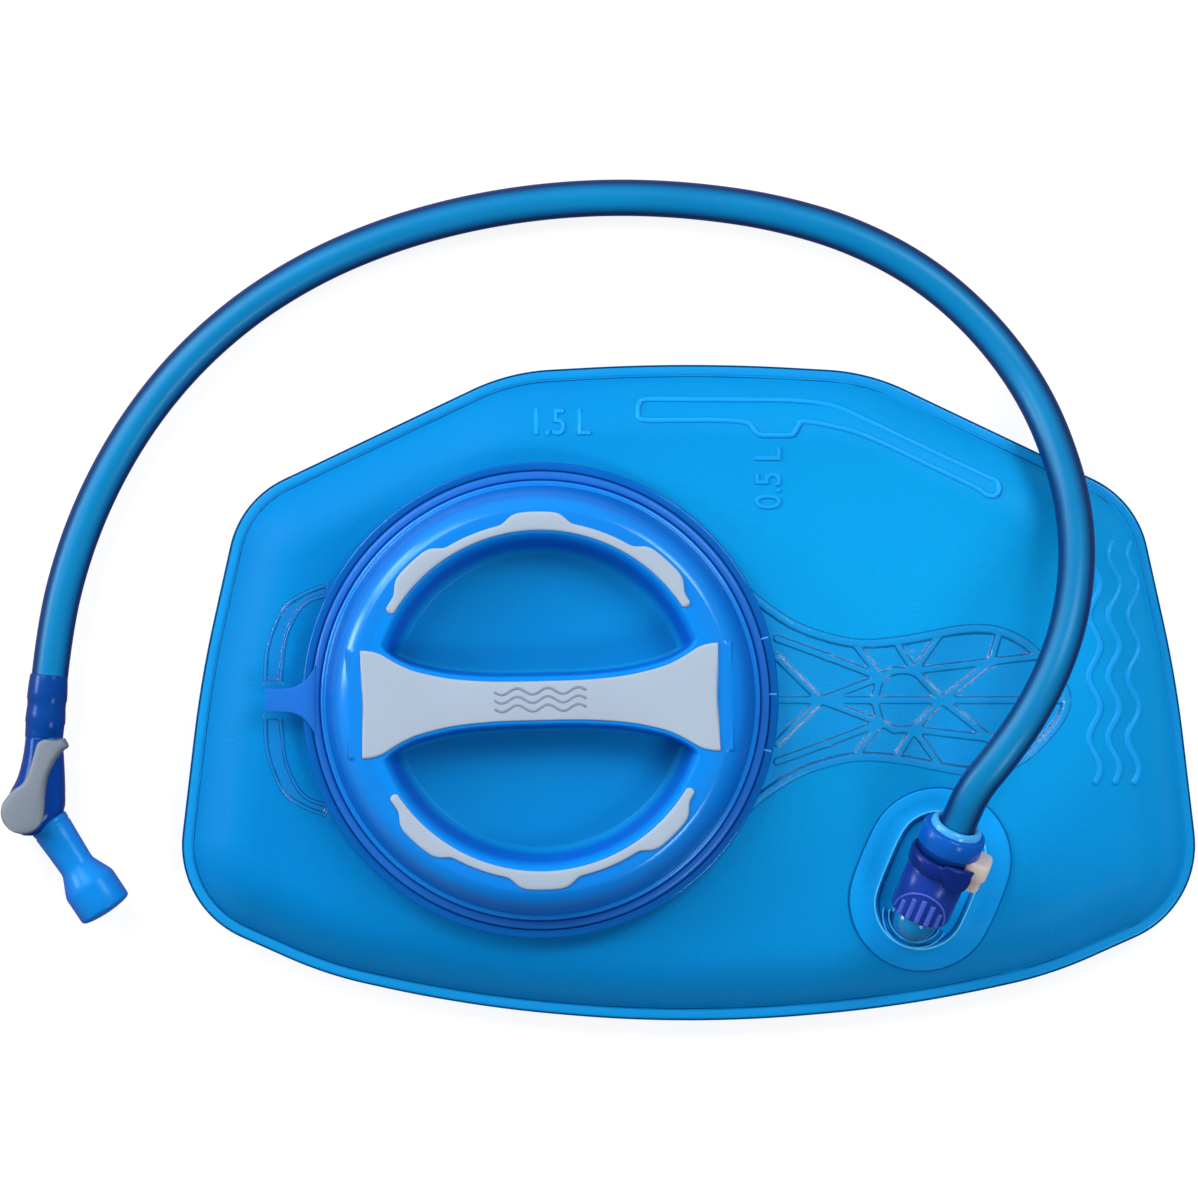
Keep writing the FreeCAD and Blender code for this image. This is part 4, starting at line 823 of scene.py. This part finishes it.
def grip_strip(side):
    """One crest strip: rows along the arc, each a rounded section whose outer edge swells at the
    three thumb places."""
    angle = np.linspace(STRIP_FROM, STRIP_TO, 200)
    swell = THUMB_OUT * sum(np.exp(-((angle - at) / THUMB_WIDE) ** 6) for at in THUMB_AT)
    inner, outer = STRIP_IN + 0 * angle, STRIP_OUT + swell
    flat, rise = squared(np.cos(full_turn(24)), 0.45), squared(np.sin(full_turn(24)), 0.6)
    past = np.clip(np.abs(angle - 90) - ((STRIP_TO - STRIP_FROM) / 2 - STRIP_END), 0, STRIP_END)
    ends = np.sqrt(np.clip(1 - (past / STRIP_END) ** 2, 0.02, 1))
    middle, half = (inner + outer) / 2, (outer - inner) / 2 * ends
    radius = middle[:, None] + half[:, None] * flat
    z = CREST - 0.1 + 0.75 * ends[:, None] * rise
    a = np.radians(angle)[:, None]
    return lattice(to_cap(radius * np.cos(a), side * radius * np.sin(a), z), ends=(True, True))


for name, side in (("upper", 1), ("lower", -1)):
    fit("cap_crest_grip_" + name, [grip_strip(side)], grip_grey, "cap", ["cap_grip_arc_" + name])

# A plain wave motif is sunk into the middle of the bar's grip.
# The motif's darker grey is painted shade in the sunk lines.
grip_shade = moulded("grip_shade_grey", paint(128, 142, 162), paint(104, 118, 140), 0.55)
motif = []
for y in (-2.0, 0.4, 2.8):
    x = np.linspace(-13, 13, 90)
    motif.append(sweep(to_cap(x, y + 0.9 * np.sin(x * 2 * math.pi / 8.7), CREST + 0.58 + 0 * x),
                       oval(0.75, 0.3), closed=False))
fit("cap_bar_waves", motif, grip_shade, "cap")


# ---- Exit port ----------------------------------------------------------------------------------
# A clear moulding welded into the film near its right end: a round-ended flange with a raised well rim,
# and an elbow that turns the outlet up into the connector.
hose_way = np.array(next(j for j in frame["joints"] if j["name"] == "hose_pull")["axis"], float)
hose_way /= np.linalg.norm(hose_way)
hose_left = np.array([-hose_way[1], hose_way[0], 0]) / math.hypot(hose_way[0], hose_way[1])
hose_up = np.cross(hose_way, hose_left)
seal_low, seal_high = (np.array(c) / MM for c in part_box("probe_oring"))
SEAL_ALONG = 10.9  # from the connector's start to the middle of its O-ring
LINK_START = (seal_low + seal_high) / 2 - SEAL_ALONG * hose_way
PORT_AT = np.array([69.0, -53.4])
port_ahead = hose_way[:2] / np.linalg.norm(hose_way[:2])
port_side = np.array([port_ahead[1], -port_ahead[0]])


def round_ended(width, straight):
    """A plan outline with two round ends, whose straight sides are 2 * straight long."""
    turn = full_turn(160)
    x, y = width / 2 * np.cos(turn), width / 2 * np.sin(turn) + straight * np.tanh(6 * np.sin(turn))
    return PORT_AT + x[:, None] * port_side + y[:, None] * port_ahead


def port_row(width, straight, lift):
    """One ring of the port, laid on the film's curve and lifted."""
    return on_film(round_ended(width, straight), lift)


# The flange takes the film's painted light and shade, paler in the middle and deeper towards its edge.
port_blue = film_skin("port_flange_blue", paint(14, 168, 250), paint(8, 136, 216))
port_levels = [(41.6, 5.85, -0.15), (41.8, 5.85, 0.4), (41.4, 5.85, 0.8), (40.4, 5.85, 1.0), (34, 6.3, 1.1),
               (28.2, 7.1, 1.1), (27.2, 7.2, 1.5), (26.4, 7.2, 2.2), (25.8, 7.2, 2.2), (25.0, 7.2, 1.4),
               (24.2, 7.2, 0.7), (22, 7.2, 0.6), (14, 7.0, 0.6)]
fit("port_flange", [lattice([port_row(*level) for level in port_levels], ends=(True, True))], port_blue,
    "reservoir", ["exit_port"])
# The pale blue of the rim bead and the cradle's ribs is a painted highlight; the darker blue draws thin lines
# at the flange's edge and the well's foot.
port_line = moulded("port_line_blue", paint(2, 84, 160), paint(2, 70, 140), 0.2)
port_shine = moulded("port_shine_blue", paint(90, 205, 252), paint(50, 180, 245), 0.15)
for name, level, outline, blue in (("port_flange_bead", (41.9, 5.85, 0.35), oval(0.35, 0.8), port_line),
                                   ("port_rim_bead", (26.2, 7.2, 2.15), oval(0.55, 0.5), port_shine),
                                   ("port_well_bead", (24.0, 7.2, 0.8), oval(0.35, 0.4), port_line)):
    fit(name, [sweep(port_row(*level), outline)], blue, "reservoir", ["exit_port"])


def on_link(side, up, along):
    """Points of the connector's own frame, where along runs towards the tube, side to its left and
    up away from the film."""
    side, up, along = np.broadcast_arrays(side, up, along)
    return (LINK_START + side[..., None] * hose_left + up[..., None] * hose_up
            + along[..., None] * hose_way)


def turn_on_link(profile, count=72, ends=(True, True)):
    """A profile of (along, radius) points turned about the connector's axis."""
    along, radius = np.hsplit(np.asarray(profile, float), 2)
    turn = full_turn(count)
    return lattice(on_link(radius * np.cos(turn), radius * np.sin(turn), along), ends=ends)


port_clear = moulded("port_clear_blue", paint(20, 158, 228), paint(4, 84, 156), 0.08, grain=0.02, clear=0.35,
                     rim=0.9)
ball = [(1.2 - 6.2 * math.sin(a), 6.2 * math.cos(a)) for a in np.linspace(math.pi / 2 - 0.03, 0, 14)]
elbow = turn_on_link(ball + [(3.7, 6.2), (3.9, 5.9), (4.0, 5.8), (14.6, 5.8), (15, 5.4), (15, 3.5),
                             (8.2, 3.5), (8.2, 2.5), (6.6, 2.5), (6.6, 3.5), (-2.3, 3.5)])
foot_at = LINK_START + 1.2 * hose_way
foot_profile = [(4.8, foot_at[2] - 1), (5.0, foot_at[2] - 4), (5.4, 20.4), (6.6, 19.0), (7.4, 18.7),
                (7.4, 17.9), (4.3, 17.8), (4.3, 13.6), (3.0, 13.6), (3.0, 16)]
fit("port_elbow", [elbow, turn_about(foot_profile, foot_at, 72, closed=False)], port_clear, "reservoir",
    ["exit_port"])
# Two curved ribs stand round the near side of the elbow's foot, in the painted highlight blue.
cradle_turn = np.linspace(math.radians(185), math.radians(355), 50)[:, None]
cradle = []
for wide, long in ((9.3, 8.6), (7.6, 6.9)):
    line = (foot_at[:2] + wide * np.cos(cradle_turn) * port_side
            + (long * np.sin(cradle_turn) + 0.6) * port_ahead)
    cradle.append(sweep(on_film(line, 1.5), oval(0.45, 2.2), closed=False))
fit("port_cradle", cradle, port_shine, "reservoir", ["exit_port"])


# ---- Quick connector ----------------------------------------------------------------------------
# An indigo housing that pushes over the port's barrel.  A darker latch plate wraps its upper end and
# hooks round the grey release button, and a blue collar grips the tube.
indigo = moulded("link_indigo", paint(26, 60, 156), paint(14, 26, 100), 0.2, rim=0.5)
indigo_dark = moulded("latch_indigo", paint(16, 42, 124), paint(12, 24, 84), 0.22, rim=0.4)
# The ridges' pale lilac is a painted highlight.
ridge_highlight_lilac = moulded("link_rib_highlight_lilac", paint(74, 98, 200), paint(50, 70, 180), 0.2)
collar_blue = moulded("link_collar_blue", paint(14, 90, 184), paint(8, 52, 150), 0.14, rim=0.4)
LINK_R = 8.9
housing = turn_on_link([(16.6, 3.2), (16.6, 6.3), (4.6, 6.3), (4.4, 6.6), (4.3, 7.8), (4.6, 8.5),
                        (5.4, 8.8), (12, LINK_R), (17.9, LINK_R), (18.1, 8.7), (24.2, 8.6), (24.4, 3.2)], 96)
fit("link_housing", [housing], indigo, "hose", ["link_body"], sharp=50)
# Five straight grip ridges under an arched one, all on the housing's upper side; their pale lilac is a
# painted highlight.
ridges = []
for place, long in ((-5.4, 4.4), (-2.8, 6.6), (0, 7.4), (2.8, 6.6), (5.4, 4.4)):
    ridge_line = on_link(place, np.sqrt((LINK_R - 0.05) ** 2 - place ** 2), np.linspace(4.9, 4.9 + long, 12))
    ridges.append(sweep(ridge_line, oval(1.5, 0.8), closed=False, up=tuple(hose_up)))
arch_turn = np.linspace(0, math.pi, 40)
arch_side = 7.3 * np.cos(arch_turn)
arch = on_link(arch_side, np.sqrt(LINK_R ** 2 - arch_side ** 2), 5.6 + 8.4 * np.sin(arch_turn))
ridges.append(sweep(arch, oval(0.7, 0.6), closed=False, up=tuple(hose_up)))
fit("link_grip_ridges", ridges, ridge_highlight_lilac, "hose", ["link_body"])

latch = turn_on_link([(20.0, 8.95), (19.7, 9.3), (20.1, 9.7), (23.6, 9.8), (24.2, 9.4), (24.4, 8.95)], 96,
                     ends=(False, False))
# The latch's tongue, as (side, along) points: it hooks round the button's stem.
TONGUE = [(-1.6, 25.2), (-1.4, 23.4), (-2.0, 20.8), (-3.4, 18.6), (-5.4, 17.6), (-7.6, 17.9), (-9.2, 19.4),
          (-9.7, 21.6), (-9.4, 23.8), (-9.0, 25.2)]
tongue = smooth_line(TONGUE, 90)
tongue_rows = []
for shrink, rise in ((0.97, 0.0), (1, 0.35), (1, 1.15), (0.96, 1.5), (0.86, 1.62), (0.5, 1.62)):
    side, along = (tongue.mean(0) + (tongue - tongue.mean(0)) * shrink).T
    level = np.sqrt(np.clip(9.2 ** 2 - (side * 0.72) ** 2, 0, None)) - 0.9 + rise
    tongue_rows.append(on_link(side, level, along))
fit("latch_wrap", [latch, lattice(tongue_rows, ends=(True, True))], indigo_dark, "hose",
    ["latch_plate"])

gripper = turn_on_link([(27.5, 5.2), (24.4, 8.3), (26.3, 8.4), (26.5, 8.7), (26.8, 9.2), (27.4, 9.5),
                        (31.8, 9.3), (32.6, 8.9), (32.9, 8.2), (33.0, 7.5)], 96, ends=(False, False))
lip = turn_on_link([(33.0, 7.6), (33.5, 7.55), (34.2, 7.3), (34.75, 6.7), (34.7, 6.1), (34.2, 5.35),
                    (32.0, 5.3)], 96, ends=(False, False))
# The lip's pale blue is a painted highlight round the collar's end.
lip_highlight_blue = moulded("link_lip_highlight_blue", paint(70, 168, 232), paint(20, 96, 214), 0.14, gloss=0.5)
fit("link_collar_ring", [gripper], collar_blue, "hose", ["link_collar"])
fit("link_collar_lip", [lip], lip_highlight_blue, "hose", ["link_collar"])
button_grey = moulded("button_warm_grey", paint(206, 196, 190), paint(150, 138, 132), 0.38, grain=0.08)
BUTTON_SIDE = -9.5
button_turn = full_turn(64)
button_side, button_up = squared(np.cos(button_turn), 0.5), squared(np.sin(button_turn), 0.5)


def button_part(low, high, tall, wide):
    """A soft-cornered block on the connector's side: squared-up ovals from low to high along the
    connector, drawn in near both ends."""
    rows = [on_link(BUTTON_SIDE + button_side * wide * shrink, button_up * tall * shrink, along)
            for along, shrink in ((low, 0.84), (low + 0.3, 0.95), (low + 0.9, 1.0), (high - 1.0, 1.0),
                                  (high - 0.3, 0.95), (high, 0.84))]
    return lattice(rows, ends=(True, True))


fit("release_button_cap", [button_part(21.9, 27.3, 5.4, 4.0), button_part(17.6, 22.4, 3.8, 3.2)],
    button_grey, "button", ["release_button"])


# ---- Shut-off valve and bite valve --------------------------------------------------------------
# A dark blue valve body on the tube's end, turned off by a grey lever on its side, and a soft bite
# valve pushed on its outlet.
VALVE_MID = 8.0
BODY = [(-12.6, -190.15, -179.6, 5.3), (-18, -190.9, -179.2, 5.9), (-24, -192.4, -178.9, 6.8),
        (-28.5, -194.6, -178.8, 7.3), (-32.5, -195.8, -178.9, 7.55), (-35.5, -195.8, -180.0, 7.5),
        (-38, -194.6, -182.0, 7.0), (-40, -192.6, -184.6, 6.0), (-40.9, -190.8, -186.8, 4.6)]
body_line = smooth_line(BODY, 60, closed=False)
body_turn = full_turn(64)
body_side, body_up = squared(np.cos(body_turn), 0.85), squared(np.sin(body_turn), 0.85)
body_rows = [np.stack([(left + right) / 2 + (right - left) / 2 * body_side, 0 * body_turn + y,
                       VALVE_MID + half * body_up], -1) for y, left, right, half in body_line]
valve_blue = moulded("valve_dark_blue", paint(8, 68, 158), paint(14, 24, 92), 0.13, grain=0.03, rim=0.7)
valve_shell = fit("shutoff_shell", [lattice(body_rows, ends=(True, True))], valve_blue, "hose",
                  ["shutoff_body"])


def turn_level(profile, start, way, count):
    """A profile of (along, radius) points turned about a level axis that runs from start along way."""
    along, radius = np.asarray(profile, float).T[:, :, None, None]
    way = np.array([*way, 0]) / math.hypot(*way)
    turn = full_turn(count)[:, None]
    left = np.array([-way[1], way[0], 0])
    rows = start + along * way + radius * (np.cos(turn) * left + np.sin(turn) * np.array([0, 0, 1]))
    return lattice(rows, ends=(True, True))


# The last of the tube is stretched over the valve's barb, so it is a little wider and looks darker.
STRETCH = [(-17.8, 5.3), (-17.4, 5.42), (-15.5, 5.6), (-13, 5.75), (-10.8, 5.8), (-10.2, 5.6),
           (-8.6, 5.55), (-6.4, 5.72), (-4.2, 5.8), (-3.6, 5.6), (-0.6, 5.5), (0, 5.5), (0.9, 5.25)]
barb_blue = moulded("tube_barb_blue", paint(6, 66, 146), paint(6, 30, 100), 0.22, grain=0.04, gloss=0.35,
                    rim=0.8)
stretched_end = fit("tube_stretched_end", [turn_level(STRETCH, TUBE_ROUTE[-1], (-0.0788, -0.9969), 64)],
                    barb_blue, "hose")

# Lever: one moulding whose left edge, ridge and right edge run from the far side of the round hub out
# to the hooked tip of the arm.
HUB_AT, HUB_R = np.array([-190.5, -34.1]), 6.25
ARM_LEFT = [(-195.2, -30.0), (-193.2, -27.7), (-190.4, -25.6), (-188.6, -21.7), (-187.3, -17.4),
            (-186.3, -14.4), (-184.4, -13.2)]
ARM_RIDGE = [(-187.4, -31.0), (-185.9, -28.4), (-184.9, -24.8), (-183.4, -20.6), (-181.4, -16.9),
             (-180.2, -15.0), (-180.6, -13.4)]
ARM_RIGHT = [(-184.2, -32.4), (-184.0, -29.2), (-183.2, -23.9), (-181.0, -19.3), (-178.9, -16.6),
             (-177.4, -15.2), (-178.4, -12.9)]
LEVER_TOP, LEVER_LOW = 20.0, 15.8
LEVER_ROWS, LEVER_ACROSS, ARM_ROW = 120, 29, 40  # the rows from ARM_ROW on are the arm's
EDGE_FALL, SLOPE_FALL, END_FALL = 2.3, 2.2, 1.5
HUB_BACK = 239  # the direction of the hub's far side, in degrees


def hub_side(*spread):
    """Points on the hub's edge, at angles counted from its far side."""
    turn = np.radians(HUB_BACK + np.array(spread))
    return HUB_AT + HUB_R * np.stack([np.cos(turn), np.sin(turn)], -1)


hub_left, hub_right = hub_side(-8, -30, -54, -78), hub_side(8, 34, 64, 96)
hub_ridge = (hub_left + hub_right) / 2
left, ridge, right = (smooth_line(np.vstack([hub, line]), LEVER_ROWS, closed=False) for hub, line in
                      ((hub_left, ARM_LEFT), (hub_ridge, ARM_RIDGE), (hub_right, ARM_RIGHT)))
rise = (1 - np.cos(np.linspace(0, math.pi / 2, LEVER_ACROSS // 2 + 1)))[None, :, None]
fall = rise[:, -2::-1]
lever_plan = np.concatenate([left[:, None] * (1 - rise) + ridge[:, None] * rise,
                             ridge[:, None] * fall + right[:, None] * (1 - fall)], 1)
# The lever's top drops in a round towards both edges, in a longer slope down the arm's right side, and
# a little at the two ends.
lever_across, lever_row = np.linspace(-1, 1, LEVER_ACROSS), np.arange(LEVER_ROWS)
from_edge = 1 - np.abs(lever_across)
edge_drop = EDGE_FALL * (1 - np.sqrt(1 - (1 - np.clip(from_edge / 0.95, 0, 1)) ** 2))
arm_share = np.clip((lever_row - ARM_ROW) / 40, 0, 1)[:, None]
lever_drop = edge_drop + SLOPE_FALL * arm_share * np.where(lever_across > 0, 1 - from_edge, 0) ** 1.4
end_drop = END_FALL * (1 - np.clip(np.minimum(lever_row, lever_row[::-1]) / 4, 0, 1))[:, None] ** 2
lever_z = np.maximum(LEVER_TOP - np.maximum(lever_drop, end_drop), LEVER_LOW + 0.3)
arm = lattice(np.concatenate([np.dstack([lever_plan, lever_z]),
                              np.dstack([lever_plan, np.full(lever_z.shape, LEVER_LOW)])[:, ::-2]], 1),
              ends=(True, True))
# The lever's grey turns darker on its slopes and edges: painted shade.
lever_grey = moulded("lever_cool_grey", paint(124, 134, 148), paint(78, 88, 104), 0.3, grain=0.06, rim=0.8)
lever_arm = fit("shutoff_lever_arm", [arm], lever_grey, "lever", ["shutoff_lever"])

# The bite valve: a soft sleeve that narrows behind its wide, blunt head.
BITE_FROM, BITE_WAY = (-183.74, -37.07, VALVE_MID), (0.553, -0.833)
BITE_PROFILE = [(0.0, 3.5), (0.0, 5.0), (-0.1, 5.6), (0.4, 5.85), (1.6, 5.8), (1.9, 5.62), (2.4, 5.62),
                (2.7, 5.76), (8, 5.45), (14.6, 5.15), (15.6, 5.3), (17.6, 6.2), (20.0, 7.35), (21.4, 7.9),
                (22.2, 7.95), (26, 7.94), (29.2, 7.92), (29.9, 7.7), (30.4, 6.9), (30.8, 5.2), (31.1, 2.6),
                (31.2, 0.3)]
bite_blue = moulded("bite_silicone_blue", paint(14, 134, 218), paint(10, 70, 176), 0.26, grain=0.05, rim=0.75)
bite_sleeve = fit("bite_valve_sleeve", [turn_level(BITE_PROFILE, BITE_FROM, BITE_WAY, 72)], bite_blue, "hose",
                  ["bite_valve"])


# ---- Pieces inside ------------------------------------------------------------------------------
# Seals, springs, the poppet, the probe, the valve's spool and the cap's thread ring keep their packed
# shapes, and take their own finishes.
def dress(nodes, material):
    """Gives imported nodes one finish."""
    for node in nodes:
        frame["nodes"][node].data.materials.clear()
        frame["nodes"][node].data.materials.append(material)


dress(["cap_seal", "poppet_seal", "probe_oring", "spool_orings"],
      moulded("seal_black", paint(46, 50, 58), paint(22, 24, 30), 0.42, grain=0.1))
dress(["poppet", "link_probe", "shutoff_spool"],
      moulded("acetal_white", paint(226, 228, 230), paint(190, 194, 200), 0.36, grain=0.08))
dress(["cap_thread_ring"], cap_blue)
spring_steel = moulded("spring_steel", paint(186, 188, 192), paint(120, 122, 128), 0.24, grain=0.1)
spring_steel.node_tree.nodes["Principled BSDF"].inputs["Metallic"].default_value = 1.0
dress(["poppet_spring", "button_spring"], spring_steel)
